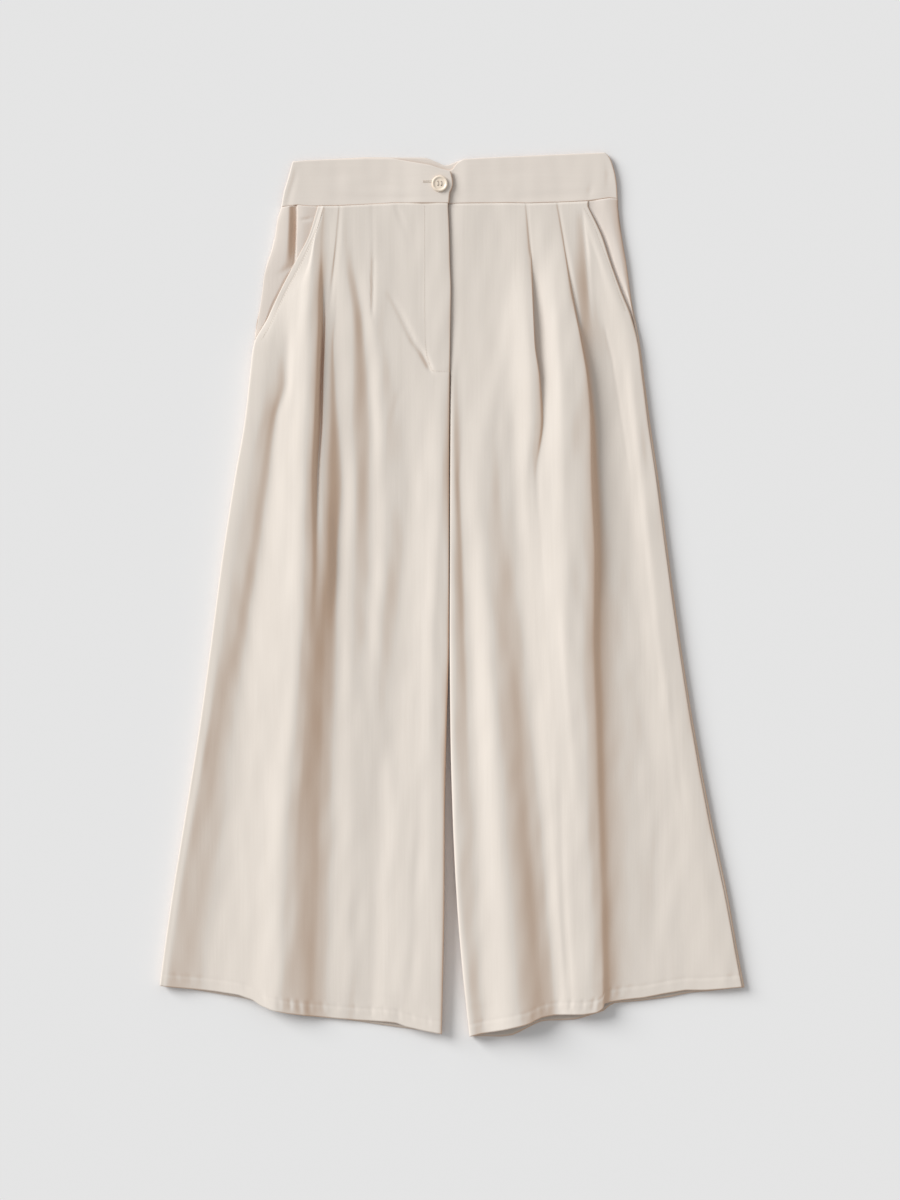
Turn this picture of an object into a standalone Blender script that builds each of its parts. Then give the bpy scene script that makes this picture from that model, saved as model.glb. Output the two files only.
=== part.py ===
"""Culottes laid flat on their back: eleven cut and sewn pieces, each one closed solid.

Metres, +Z up. The garment lies in the XY plane with its waist towards +Y and its front facing up.
The origin is on the floor at the middle of the outline. Right and left are the wearer's, so the
right leg lies at -X.

Each leg panel is a surface through its folds. A fold is a row of a table: how far out from the
centre front it runs, and how high its face stands over the floor, at ten levels below the waist
seam. All sizes in the tables are millimetres.
"""

import math

import bmesh
import bpy
import numpy as np

MM = 0.001

# Driving sizes, millimetres
SEAM_Y = 404.6  # the waist seam's level over the origin
WALL = 1.2  # one layer of crepe with its seam allowances
HEM_WALL = 1.8  # the turned-up hem
HEM_DEPTH = 12.5
HEM_STEP = 1.5  # the hem's wall grows over this length
BAND_WALL = 2.0  # the waistband is folded and interfaced
BAND_EDGE_ROUND = 0.5
SEAM_GAP = 0.5

RIGHT = -1  # side of the wearer's right leg along X
LEFT = 1

# Levels below the waist seam at which the fold tables give their values
LEVELS = (0, 30, 60, 105, 150, 200, 285, 450, 640, 860)
# Levels of a front's rows: the first is its waist edge and the last is where its hem starts.
# Rows between WAIST_FADE and HEM_FADE are level, and the others lean with the edge they are near.
FRONT_ROWS = (
    0, 14, 30, 45, 60, 82, 105, 120, 135, 150, 166, 183, 200, 228, 256, 285, 325, 366, 408, 450,
    497, 545, 592, 640, 692, 744, 795, 846,
)
WAIST_FADE = 60
HEM_FADE = 450
EDGE_PASSES = 4  # turns of reading an edge's level where each fold crosses it

# Folds of the right front, from the side seam to the inner leg.
# Above level 145 the first row is the slanted pocket mouth, and the last one is the fly lap.
# name, columns to the next fold, distance out at each level, height at each level
FRONT_RIGHT_FOLDS = (
    ("side_seam", 1,
     (138.8, 148.9, 164.0, 188.8, 206.6, 210.6, 224.1, 247.5, 273.0, 309.9),
     (4.9, 4.9, 5.0, 5.3, 5.3, 5.3, 5.3, 5.3, 5.3, 5.3)),
    ("side_turn", 2,
     (137.3, 147.2, 162.2, 187.2, 206.6, 210.6, 224.1, 247.5, 273.0, 309.3),
     (5.0, 5.0, 5.1, 5.8, 6.3, 6.4, 6.4, 6.4, 6.5, 7.4)),
    ("side_crest", 3,
     (135.7, 145.6, 156.5, 181.5, 188.8, 193.4, 207.5, 238.7, 267.8, 300.0),
     (5.1, 5.1, 5.2, 7.6, 11.0, 12.4, 12.5, 10.0, 9.2, 8.9)),
    ("side_valley", 4,
     (134.2, 144.0, 152.4, 172.1, 174.2, 178.4, 189.8, 213.0, 239.0, 268.8),
     (5.0, 5.0, 5.3, 7.5, 9.6, 10.2, 7.9, 4.0, 3.5, 4.7)),
    ("great_crest", 3,
     (131.6, 142.0, 143.0, 146.1, 146.0, 146.0, 149.2, 158.0, 172.5, 183.6),
     (4.9, 5.1, 6.3, 11.7, 14.8, 16.1, 16.6, 15.8, 15.6, 14.9)),
    ("step", 2,
     (128.4, 136.8, 138.3, 138.2, 134.4, 132.8, 136.8, 145.0, 157.6, 174.0),
     (4.2, 3.8, 4.9, 7.6, 6.9, 7.5, 9.7, 12.6, 12.2, 11.4)),
    ("ledge", 3,
     (125.3, 131.6, 132.6, 129.8, 129.2, 128.2, 129.2, 139.2, 150.8, 164.5),
     (3.8, 3.4, 3.5, 4.1, 6.6, 7.4, 9.5, 10.2, 10.0, 9.0)),
    ("great_valley", 3,
     (118.6, 122.2, 124.3, 122.2, 120.6, 117.8, 118.0, 122.6, 130.0, 138.8),
     (3.9, 3.8, 4.1, 4.7, 5.0, 4.6, 3.5, 3.1, 3.2, 4.7)),
    ("outer_pleat", 3,
     (103.5, 106.6, 110.8, 107.6, 104.5, 104.0, 102.0, 99.3, 103.5, 110.8),
     (4.8, 4.5, 5.9, 6.6, 7.8, 7.6, 6.2, 5.2, 4.7, 4.8)),
    ("pleat_valley", 3,
     (88.9, 93.1, 97.2, 97.4, 90.5, 87.4, 87.4, 86.8, 95.2, 103.5),
     (4.7, 4.5, 4.0, 3.3, 3.1, 3.0, 2.9, 5.6, 5.3, 5.0)),
    ("inner_pleat", 3,
     (61.9, 64.0, 78.5, 78.5, 72.3, 68.1, 66.0, 74.4, 87.9, 97.2),
     (4.7, 4.9, 4.4, 4.0, 4.6, 4.9, 5.7, 6.1, 6.4, 5.1)),
    ("inner_valley", 3,
     (45.2, 43.2, 45.2, 47.3, 57.7, 53.6, 46.3, 56.7, 67.1, 82.7),
     (4.3, 4.4, 4.1, 3.6, 4.2, 3.9, 3.3, 3.6, 4.5, 4.8)),
    ("fly_ridge", 3,
     (28.6, 28.6, 28.6, 28.6, 28.6, 28.6, 28.6, 38.0, 41.1, 48.4),
     (5.6, 5.6, 5.6, 5.6, 5.6, 5.6, 5.6, 6.7, 8.5, 8.1)),
    ("inner_crest", 2,
     (12.0, 12.0, 12.0, 12.0, 12.0, 12.0, 8.8, 19.2, 16.1, 20.6),
     (6.1, 6.1, 6.1, 6.1, 6.1, 7.1, 10.3, 9.7, 12.1, 11.0)),
    ("inner_turn", 1,
     (6.0, 4.7, 4.7, 4.7, 4.7, 4.2, 2.0, 2.9, 7.4, 10.5),
     (6.1, 6.1, 6.1, 6.1, 6.1, 6.3, 6.4, 6.4, 6.6, 7.4)),
    ("inner_edge", 0,
     (3.6, 2.1, 1.6, 0.5, 1.0, 0.8, 1.9, 2.8, 7.3, 10.4),
     (6.1, 6.1, 6.1, 6.1, 6.1, 5.9, 5.3, 5.3, 5.3, 5.3)),
)

# Folds of the left front, from the fly underlap and inner leg to the side seam
FRONT_LEFT_FOLDS = (
    ("inner_edge", 1,
     (-6.8, -6.8, -6.8, -6.8, -6.8, -0.3, -1.5, -1.6, 2.0, 18.8),
     (4.3, 4.3, 4.3, 4.3, 4.3, 4.4, 5.3, 5.3, 5.3, 5.3)),
    ("inner_turn", 2,
     (-4.2, -4.2, -4.2, -4.2, -4.2, 1.6, -1.5, -1.6, 2.0, 18.9),
     (4.3, 4.3, 4.3, 4.3, 4.3, 4.5, 6.3, 6.4, 6.6, 7.4)),
    ("inner_crest", 2,
     (4.7, 4.7, 4.7, 4.7, 4.7, 6.8, 3.6, 4.7, 12.0, 29.6),
     (4.1, 4.0, 4.0, 4.0, 4.1, 4.7, 6.6, 8.0, 9.9, 10.4)),
    ("inner_valley", 3,
     (19.2, 19.2, 19.2, 21.3, 19.2, 15.1, 13.0, 18.2, 23.9, 38.0),
     (4.2, 3.9, 3.8, 4.2, 4.3, 4.8, 5.2, 6.0, 9.3, 10.8)),
    ("leg_crest", 3,
     (42.1, 42.1, 42.1, 45.2, 45.2, 42.1, 39.0, 44.2, 53.6, 60.8),
     (4.6, 4.4, 4.4, 5.0, 5.5, 6.5, 7.9, 10.4, 15.2, 17.9)),
    ("leg_valley", 3,
     (58.8, 58.8, 58.8, 60.8, 62.9, 60.8, 58.8, 74.4, 91.0, 102.4),
     (4.9, 4.8, 4.9, 6.0, 6.9, 6.9, 6.2, 6.5, 9.4, 10.4)),
    ("inner_pleat", 2,
     (73.3, 74.4, 78.5, 81.6, 84.8, 86.8, 83.7, 87.9, 102.4, 109.7),
     (5.3, 5.4, 6.0, 9.7, 11.1, 12.2, 10.9, 8.5, 10.9, 10.9)),
    ("inner_pleat_edge", 2,
     (79.6, 81.6, 83.2, 85.8, 92.0, 95.7, 90.0, 96.2, 110.8, 117.0),
     (5.3, 5.4, 5.8, 8.6, 9.9, 10.2, 11.1, 10.3, 12.1, 11.5)),
    ("inner_pleat_under", 2,
     (82.7, 84.8, 84.8, 85.0, 91.5, 97.0, 94.1, 103.5, 116.0, 123.2),
     (5.2, 5.2, 4.6, 5.0, 7.0, 9.7, 11.2, 12.3, 12.5, 11.5)),
    ("pleat_valley", 3,
     (88.9, 91.0, 93.1, 92.0, 97.2, 101.4, 99.3, 110.8, 121.2, 128.4),
     (5.3, 5.2, 4.9, 5.5, 7.1, 9.9, 12.1, 14.1, 13.5, 12.1)),
    ("outer_pleat", 3,
     (108.7, 112.8, 114.9, 121.2, 126.4, 123.2, 121.2, 126.4, 132.6, 135.7),
     (5.8, 6.1, 6.9, 10.0, 12.0, 14.6, 16.2, 16.6, 15.6, 13.6)),
    ("outer_pleat_edge", 2,
     (116.0, 117.5, 120.1, 126.9, 137.3, 144.6, 145.6, 151.3, 154.4, 158.6),
     (5.7, 6.0, 6.7, 9.9, 11.4, 11.4, 11.5, 11.6, 10.8, 9.8)),
    ("outer_pleat_under", 2,
     (121.2, 121.2, 121.8, 129.4, 136.2, 142.5, 142.5, 148.2, 152.4, 157.0),
     (5.7, 6.1, 6.3, 8.2, 6.2, 5.3, 5.0, 5.0, 5.2, 5.4)),
    ("foot", 3,
     (128.4, 127.4, 127.4, 133.6, 142.0, 148.2, 149.2, 156.5, 161.7, 165.9),
     (5.5, 6.2, 6.0, 6.0, 3.6, 3.5, 3.4, 3.6, 3.9, 4.6)),
    ("great_valley", 2,
     (136.8, 142.0, 145.1, 148.2, 154.4, 160.7, 165.9, 177.3, 185.6, 191.9),
     (4.6, 3.9, 3.3, 2.9, 2.9, 3.1, 3.1, 3.1, 3.1, 4.8)),
    ("side_flat", 3,
     (138.4, 146.1, 153.4, 162.8, 169.0, 175.2, 183.6, 201.2, 221.0, 248.0),
     (4.8, 4.5, 4.2, 4.4, 4.6, 4.9, 5.0, 4.8, 4.8, 5.5)),
    ("side_crest", 2,
     (139.9, 151.3, 161.7, 178.4, 183.6, 190.8, 201.2, 225.2, 256.4, 303.2),
     (4.9, 5.0, 5.1, 6.2, 7.4, 7.8, 8.2, 8.7, 9.4, 10.5)),
    ("side_turn", 1,
     (141.5, 155.5, 165.9, 182.5, 193.9, 199.4, 209.0, 231.0, 260.6, 308.4),
     (4.9, 4.9, 4.9, 5.5, 6.2, 6.9, 7.5, 8.2, 8.9, 9.6)),
    ("side_seam", 0,
     (143.0, 157.0, 167.4, 184.1, 193.9, 200.2, 211.1, 232.0, 261.6, 309.4),
     (4.9, 4.9, 4.9, 5.2, 5.3, 6.0, 6.9, 7.8, 8.5, 9.2)),
)

# Cut edges of the panels: distance out, level below the waist seam
RIGHT_WAIST = ((0, -3.4), (59, -3.4), (91, -1.7), (115, -0.2), (140, 0.2), (177, 1.5))
LEFT_WAIST = ((-27, -3.4), (57, -3.4), (111, -4.0), (140, -5.4), (173, -8.0))
FRONT_RIGHT_HEM = (
    (10.3, 859.2), (25.5, 856.6), (46.3, 852.1), (56.7, 848.3), (67.1, 847.0), (97.2, 845.5),
    (128.4, 842.8), (170.0, 837.7), (185.6, 834.6), (198.1, 829.5), (206.4, 824.3), (221.0, 821.2),
    (246.0, 818.2), (272.5, 814.3), (302.1, 809.1),
)
FRONT_LEFT_HEM = (
    (18.8, 861.6), (30.7, 858.7), (51.5, 854.9), (79.6, 848.5), (94.1, 841.7), (106.6, 839.6),
    (136.8, 839.0), (151.3, 836.8), (157.6, 832.6), (160.2, 827.2), (179.4, 824.1), (200.2, 821.9),
    (221.5, 817.8), (242.8, 814.1), (285.5, 812.4), (303.9, 810.7),
)
BACK_RIGHT_HEM = (
    (10.3, 858.2), (55.0, 847.6), (128.4, 841.8), (190.0, 830.0), (215.0, 821.5), (302.1, 808.6),
)
BACK_LEFT_HEM = (
    (18.8, 862.2), (50.0, 859.8), (68.0, 857.0), (92.0, 846.6), (130.0, 845.0), (157.6, 836.0),
    (179.4, 828.0), (217.0, 822.6), (270.0, 816.5), (303.9, 811.5),
)

# The backs lie flat and curl up at their edges to meet the fronts.
# Levels below the waist seam; then the inner and the side edge lines. A lip is the edge itself,
# set in from the outline where the seam has rolled onto the top of the leg.
BACK_LEVELS = (0, 60, 105, 131, 152, 200, 270, 310, 450, 640, 860)
BACK_ROWS = (
    0, 14, 30, 60, 82, 105, 131, 138, 145, 152, 176, 200, 235, 270, 290, 310, 345, 380, 450, 545,
    640, 743, 846,
)
BACK_RIGHT_EDGES = {
    "inner_outline": (0.8, 0.8, 0.8, 0.8, 0.8, 0.8, 0.9, 2.1, 2.8, 7.3, 10.4),
    "inner_lip_height": (0, 0, 0, 0, 0, 0, 0, 4.7, 4.7, 4.7, 4.7),
    "side_outline": (177.0, 190.3, 198.3, 203.3, 206.8, 210.6, 221.7, 227.7, 247.5, 273.0, 309.9),
    "side_lip_inset": (0, 0, 0, 0, 0, 0, 0, 0, 0, 0, 0),
    "side_lip_height": (0, 0, 0, 0, 4.7, 4.7, 4.7, 4.7, 4.7, 4.7, 4.7),
}
BACK_LEFT_EDGES = {
    "inner_outline": (-0.2, -0.2, -0.2, -0.2, -0.2, -0.2, -0.3, -1.6, -1.6, 2.0, 18.8),
    "inner_lip_height": (0, 0, 0, 0, 0, 0, 0, 4.7, 4.7, 4.7, 4.7),
    "side_outline": (173.5, 182.0, 186.9, 191.1, 193.9, 202.3, 213.5, 218.4, 237.1, 266.0, 314.6),
    "side_lip_inset": (0, 0, 0, 0, 0, 1.2, 3.1, 3.4, 4.1, 3.4, 4.2),
    "side_lip_height": (0, 0, 0, 0, 4.7, 5.2, 6.0, 6.2, 7.0, 7.7, 8.4),
}
CURL_REACH = 5.5
# name, columns to the next, share of the reach in from the outline, share of the lip's height
CURL = (
    ("flat", 1, 1.0, 0.0),
    ("foot", 1, 0.47, 0.12),
    ("bulge", 1, 0.05, 0.42),
    ("shoulder", 1, 0.0, 0.78),
    ("lip", 1, 0.0, 1.0),
)
FLAT_LIP = 2.4  # a lip lower than this spreads its points out over the flat
BACK_MIDDLE = (90, 95, 98, 101, 103, 106, 110, 114, 125, 140, 160)
BACK_MIDDLE_COLUMNS = 4  # on each side of the middle

# Pocket facings: they fill the corner between the slanted pocket mouth and the side seam, and
# their inner edge is tucked under the front
FACING_LEVELS = (0, 30, 60, 105, 128)
FACING_ROWS = (0, 15, 30, 45, 60, 75, 90, 105, 117, 128)
FACING_RIGHT_FOLDS = (
    ("tucked_edge", 2, (133.8, 143.9, 159.0, 183.8, 193.4), (3.3, 3.2, 3.2, 3.4, 3.5)),
    ("foot", 3, (162.8, 164.8, 167.4, 189.4, 197.0), (3.0, 3.1, 3.2, 3.5, 3.6)),
    ("crest", 1, (171.6, 175.2, 179.4, 193.0, 198.6), (5.9, 6.2, 6.2, 4.6, 3.8)),
    ("side_turn", 1, (176.6, 183.2, 189.6, 197.4, 201.9), (3.7, 3.8, 3.9, 3.7, 3.4)),
    ("side_seam", 0, (176.6, 183.2, 189.6, 197.4, 201.9), (1.6, 1.6, 1.6, 1.6, 1.6)),
)
FACING_LEFT_FOLDS = (
    ("tucked_edge", 2, (138.0, 151.8, 161.9, 177.0, 182.5), (3.2, 3.2, 3.2, 3.4, 3.5)),
    ("foot", 3, (154.4, 160.7, 168.0, 178.6, 183.6), (3.3, 3.2, 3.2, 3.4, 3.5)),
    ("crest", 1, (166.4, 171.0, 175.8, 182.6, 186.0), (5.0, 4.7, 4.2, 3.8, 3.7)),
    ("side_turn", 1, (173.0, 177.4, 181.4, 186.4, 189.8), (3.6, 3.7, 3.8, 3.7, 3.4)),
    ("side_seam", 0, (173.0, 177.4, 181.4, 186.4, 189.8), (1.6, 1.6, 1.6, 1.6, 1.6)),
)

# Waistbands. Ends: share of the band's height, distance out. Edges: distance out, height over
# the waist seam. Face: distance out, height over the floor.
RIGHT_BAND = {
    "centre_end": ((0, 2.1), (0.33, 2.1), (0.58, -1.6), (0.8, -0.5), (1, 1.0)),
    "side_end": ((0, 177.3), (0.34, 174.2), (0.7, 169.0), (1, 165.9)),
    "bottom": ((0, 3.4), (59, 3.4), (91, 1.7), (115, 0.2), (140, -0.2), (177, -1.5)),
    "top": ((1, 36.5), (7, 38.3), (22, 43.2), (41, 46.4), (61, 50.5), (91, 50.8), (115, 50.0),
            (153, 48.0), (166, 46.4)),
    "face": ((-2, 6.6), (32, 6.6), (50, 5.6), (65, 5.0), (120, 4.8), (150, 4.5), (178, 4.5)),
}
LEFT_BAND = {
    "centre_end": ((0, -27.0), (1, -27.0)),
    "side_end": ((0, 173.0), (0.35, 172.2), (0.8, 167.5), (1, 166.9)),
    "bottom": ((-27, 3.4), (57, 3.4), (111, 4.0), (140, 5.4), (173, 8.0)),
    "top": ((-27, 36.0), (-8, 37.0), (1, 38.0), (4.7, 45.0), (12, 49.6), (50, 51.5), (100, 54.0),
            (158.6, 56.2), (166.9, 46.0)),
    "face": ((-27, 4.3), (3, 4.3), (12, 4.5), (178, 4.5)),
}
BACK_BAND = {
    "centre_end": ((0, -177.3), (0.34, -174.2), (0.7, -169.0), (1, -165.9)),
    "side_end": ((0, 173.0), (0.35, 172.2), (0.8, 167.5), (1, 166.9)),
    "bottom": ((-177, -1.5), (-140, -0.2), (-115, 0.2), (-91, 1.7), (-59, 3.4), (57, 3.4),
               (111, 4.0), (140, 5.4), (173, 8.0)),
    "top": ((-166, 46.0), (-153, 47.6), (-115, 49.6), (-91, 51.3), (-26.5, 50.5), (-19.2, 48.0),
            (-5.7, 42.9), (2.6, 45.8), (12, 49.0), (50, 51.2), (100, 53.6), (158.6, 55.8),
            (166.9, 45.6)),
    "face": ((-178, 0), (178, 0)),
}
BAND_ROWS = 6
FRONT_BAND_COLUMNS = 18
BACK_BAND_COLUMNS = 28

# Closures
BUTTON_AT = (-12.2, 428.1)  # across and up the garment
BUTTON_RADIUS = 8.4
BUTTON_THICKNESS = 2.8
BUTTON_STEPS = 28  # round the button
BUTTON_LIFT = 6.9  # its underside, just clear of the tab
BUTTON_HOLE_RADIUS = 0.9
BUTTON_HOLE_SIDES = 10
BUTTON_HOLE_PITCH = 1.75  # from the middle of the button, each way
BUTTONHOLE_LENGTH = 18.5
BUTTONHOLE_WIDTH = 1.2
BUTTONHOLE_AT = (-20.5, 430.2)
BUTTONHOLE_END_STEPS = 4  # round each end of the slot
CUTTER_LENGTH = 10  # longer than what it cuts is thick
TAB_MIDDLE = 5.6  # the tab's middle over the floor
ZIP_OUT = (7.4, 22.4)
ZIP_LEVELS = (2.0, 165.0)
ZIP_HEIGHTS = (3.0, 4.0)

CLOTH_COLOUR = (0.66, 0.61, 0.55, 1)
FACING_COLOUR = (0.65, 0.60, 0.54, 1)
BUTTON_COLOUR = (0.75, 0.68, 0.58, 1)
ZIP_COLOUR = (0.60, 0.54, 0.47, 1)
CLOTH_ROUGHNESS = 0.85
BUTTON_ROUGHNESS = 0.35
ZIP_ROUGHNESS = 0.7


def tangents(at, values):
    """Slopes at the knots of a curve that never overshoots its values; knots on the last axis."""
    gap = np.diff(at)
    rise = np.diff(values, axis=-1) / gap
    slope = np.zeros_like(values)
    slope[..., 0] = rise[..., 0]
    slope[..., -1] = rise[..., -1]
    before, after = rise[..., :-1], rise[..., 1:]
    weight_before = 2 * gap[1:] + gap[:-1]
    weight_after = gap[1:] + 2 * gap[:-1]
    with np.errstate(divide="ignore", invalid="ignore"):
        mean = (weight_before + weight_after) / (weight_before / before + weight_after / after)
    slope[..., 1:-1] = np.where(before * after > 0, mean, 0)
    return slope


def smooth(at, values, where):
    """Smooth curve through the values (knots on the last axis), read at each point of `where`.

    The values are one curve for all points, or one curve for each point.
    """
    at, values, where = np.asarray(at, float), np.asarray(values, float), np.asarray(where, float)
    slope = tangents(at, values)
    values = np.broadcast_to(values, where.shape + at.shape)
    slope = np.broadcast_to(slope, where.shape + at.shape)
    span = np.clip(np.searchsorted(at, where, side="right") - 1, 0, len(at) - 2)
    width = at[span + 1] - at[span]
    share = np.clip((where - at[span]) / width, 0, 1)

    def pick(table, index):
        return np.take_along_axis(table, index[..., None], axis=-1)[..., 0]

    start, end = pick(values, span), pick(values, span + 1)
    leave, arrive = pick(slope, span) * width, pick(slope, span + 1) * width
    square, cube = share**2, share**3
    return (
        start * (2 * cube - 3 * square + 1)
        + leave * (cube - 2 * square + share)
        + end * (3 * square - 2 * cube)
        + arrive * (cube - square)
    )


def straight(table, where):
    """Straight-line reading of a table of pairs."""
    across, along = zip(*table)
    return np.interp(where, across, along)


def fold_grid(folds, levels, row_levels, waist, hem=None):
    """Face points of a panel, in millimetres: an array of rows, columns and (out, level, height).

    Columns follow the folds and rows follow `row_levels`. Rows at the waist lean with its edge,
    rows at the hem with the hem's, and two more rows make the turned-up hem.
    """
    knots = np.cumsum([0] + [fold[1] for fold in folds[:-1]])
    columns = np.arange(knots[-1] + 1)

    def across(level):
        outs = np.stack([smooth(levels, fold[2], level) for fold in folds], axis=-1)
        heights = np.stack([smooth(levels, fold[3], level) for fold in folds], axis=-1)
        at = np.broadcast_to(columns, level.shape)
        return smooth(knots, outs, at), smooth(knots, heights, at)

    def edge(table, start):
        level = np.full(len(columns), start, float)
        for _ in range(EDGE_PASSES):
            level = straight(table, across(level)[0])
        return level

    nominal = np.array(row_levels, float)[:, None]
    top = edge(waist, 0) + SEAM_GAP
    level = nominal + top * np.clip(1 - nominal / WAIST_FADE, 0, 1)
    if hem:
        bottom = edge(hem, levels[-1])
        lean = np.clip((nominal - HEM_FADE) / (row_levels[-1] - HEM_FADE), 0, 1)
        level = level + (bottom - HEM_DEPTH - HEM_STEP - row_levels[-1]) * lean
        level = np.vstack([level, bottom - HEM_DEPTH, bottom])
    out, height = across(level)
    return np.stack([out, level, height], axis=-1)


def place(grid, side):
    """Points in metres from a grid of (out, level, height)."""
    out, level, height = np.moveaxis(grid, -1, 0)
    return np.stack([side * out, SEAM_Y - level, height], axis=-1) * MM


def paint(piece, colour, roughness):
    material = bpy.data.materials.new(piece.name)
    material.use_nodes = True
    shader = material.node_tree.nodes["Principled BSDF"]
    shader.inputs["Base Color"].default_value = colour
    shader.inputs["Roughness"].default_value = roughness
    material.diffuse_color = colour
    piece.data.materials.append(material)


def cloth(name, points, wall, facing, collection, hem_rows=0, colour=CLOTH_COLOUR):
    """A cut piece: its face is a loft through the grid of points, and its wall lies behind it.

    `facing` is +1 for a face that looks up and -1 for one that looks down. The last `hem_rows`
    rows are turned up, so the wall is thicker there.
    """
    rows, columns, _ = points.shape
    sheet = bmesh.new()
    verts = [[sheet.verts.new(point) for point in row] for row in points]
    for r in range(rows - 1):
        for c in range(columns - 1):
            sheet.faces.new((verts[r][c], verts[r][c + 1], verts[r + 1][c + 1], verts[r + 1][c]))
    middle = sheet.faces[:]
    sheet.normal_update()
    if sum(face.normal.z * face.calc_area() for face in middle) * facing < 0:
        bmesh.ops.reverse_faces(sheet, faces=middle)
    mesh = bpy.data.meshes.new(name)
    sheet.to_mesh(mesh)
    sheet.free()
    mesh.shade_smooth()
    piece = bpy.data.objects.new(name, mesh)
    collection.objects.link(piece)
    solid = piece.modifiers.new("wall", "SOLIDIFY")
    solid.offset = -1
    solid.use_quality_normals = True
    solid.thickness = wall * MM
    if hem_rows:
        hem = piece.vertex_groups.new(name="hem")
        start = (rows - hem_rows) * columns
        hem.add(list(range(start, rows * columns)), 1.0, "REPLACE")
        solid.thickness = HEM_WALL * MM
        solid.vertex_group = hem.name
        solid.thickness_vertex_group = wall / HEM_WALL
    paint(piece, colour, CLOTH_ROUGHNESS)
    return piece


def front(name, folds, waist, hem, side, collection):
    grid = fold_grid(folds, LEVELS, FRONT_ROWS, waist, hem)
    return cloth(name, place(grid, side), WALL, 1, collection, hem_rows=2)


def curl(outlines, insets, heights, inward):
    """Rows of a back's section where it leaves the floor and curls up to its lip."""
    outlines, insets, heights = (np.array(values, float) for values in (outlines, insets, heights))
    spread = np.clip(1 - heights / FLAT_LIP, 0, 1)
    rows = []
    for order, (name, columns, reach, lift) in enumerate(CURL):
        flat_share = 1 - order / (len(CURL) - 1)
        share = reach + (flat_share - reach) * spread
        shift = CURL_REACH * share
        if name == "lip":
            shift = shift + insets
        if name == "shoulder":
            shift = shift + 0.2 * insets
        rows.append((name, columns, outlines + inward * shift, heights * lift))
    return rows


def back(name, edges, waist, hem, side, collection):
    flat = np.zeros(len(BACK_LEVELS))
    inner = curl(edges["inner_outline"], flat, edges["inner_lip_height"], 1)[::-1]
    outer = curl(edges["side_outline"], edges["side_lip_inset"], edges["side_lip_height"], -1)
    inner[-1] = ("inner_flat", BACK_MIDDLE_COLUMNS) + inner[-1][2:]
    middle = ("middle", BACK_MIDDLE_COLUMNS, np.array(BACK_MIDDLE, float), flat)
    grid = fold_grid(inner + [middle] + outer, BACK_LEVELS, BACK_ROWS, waist, hem)
    return cloth(name, place(grid, side), WALL, -1, collection, hem_rows=2)


def facing(name, folds, waist, side, collection):
    grid = fold_grid(folds, FACING_LEVELS, FACING_ROWS, waist)
    return cloth(name, place(grid, side), WALL, 1, collection, colour=FACING_COLOUR)


def waistband(name, band, columns, facing, side, collection):
    """A waistband from its ends, edges and face, with rounded edges."""
    up = np.linspace(0, 1, BAND_ROWS)
    start, end = straight(band["centre_end"], up), straight(band["side_end"], up)
    out = start[:, None] + (end - start)[:, None] * np.linspace(0, 1, columns)
    bottom, top = straight(band["bottom"], out), straight(band["top"], out)
    level = -(bottom + (top - bottom) * up[:, None])
    grid = np.stack([out, level, straight(band["face"], out)], axis=-1)
    piece = cloth(name, place(grid, side), BAND_WALL, facing, collection)
    rounding = piece.modifiers.new("rounding", "BEVEL")
    rounding.limit_method = "ANGLE"
    rounding.angle_limit = math.radians(60)
    rounding.width = BAND_EDGE_ROUND * MM
    rounding.segments = 2
    return piece


def use_as_cutter(cutter, piece, cutters):
    """Takes the cutter's shape out of the piece and keeps the cutter out of sight."""
    for group in cutter.users_collection:
        group.objects.unlink(cutter)
    cutters.objects.link(cutter)
    cutter.hide_render = True
    cutter.display_type = "WIRE"
    cut = piece.modifiers.new(cutter.name, "BOOLEAN")
    cut.operation = "DIFFERENCE"
    cut.solver = "EXACT"
    cut.object = cutter


def cut_buttonhole(tab, cutters):
    """A slot with round ends through the waistband's tab."""
    end_radius = BUTTONHOLE_WIDTH / 2
    end_middle = BUTTONHOLE_LENGTH / 2 - end_radius
    slot = bmesh.new()
    ring = []
    for end, start in ((1, -0.5), (-1, 0.5)):
        for step in range(BUTTONHOLE_END_STEPS + 1):
            turn = math.pi * (start + step / BUTTONHOLE_END_STEPS)
            x = end * end_middle + end_radius * math.cos(turn)
            y = end_radius * math.sin(turn)
            ring.append(slot.verts.new((x * MM, y * MM, -CUTTER_LENGTH / 2 * MM)))
    floor = slot.faces.new(ring)
    risen = bmesh.ops.extrude_face_region(slot, geom=[floor])
    lifted = [item for item in risen["geom"] if isinstance(item, bmesh.types.BMVert)]
    bmesh.ops.translate(slot, verts=lifted, vec=(0, 0, CUTTER_LENGTH * MM))
    bmesh.ops.recalc_face_normals(slot, faces=slot.faces)
    mesh = bpy.data.meshes.new("buttonhole_cutter")
    slot.to_mesh(mesh)
    slot.free()
    cutter = bpy.data.objects.new("buttonhole_cutter", mesh)
    cutter.location = (BUTTONHOLE_AT[0] * MM, BUTTONHOLE_AT[1] * MM, TAB_MIDDLE * MM)
    use_as_cutter(cutter, tab, cutters)


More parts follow.
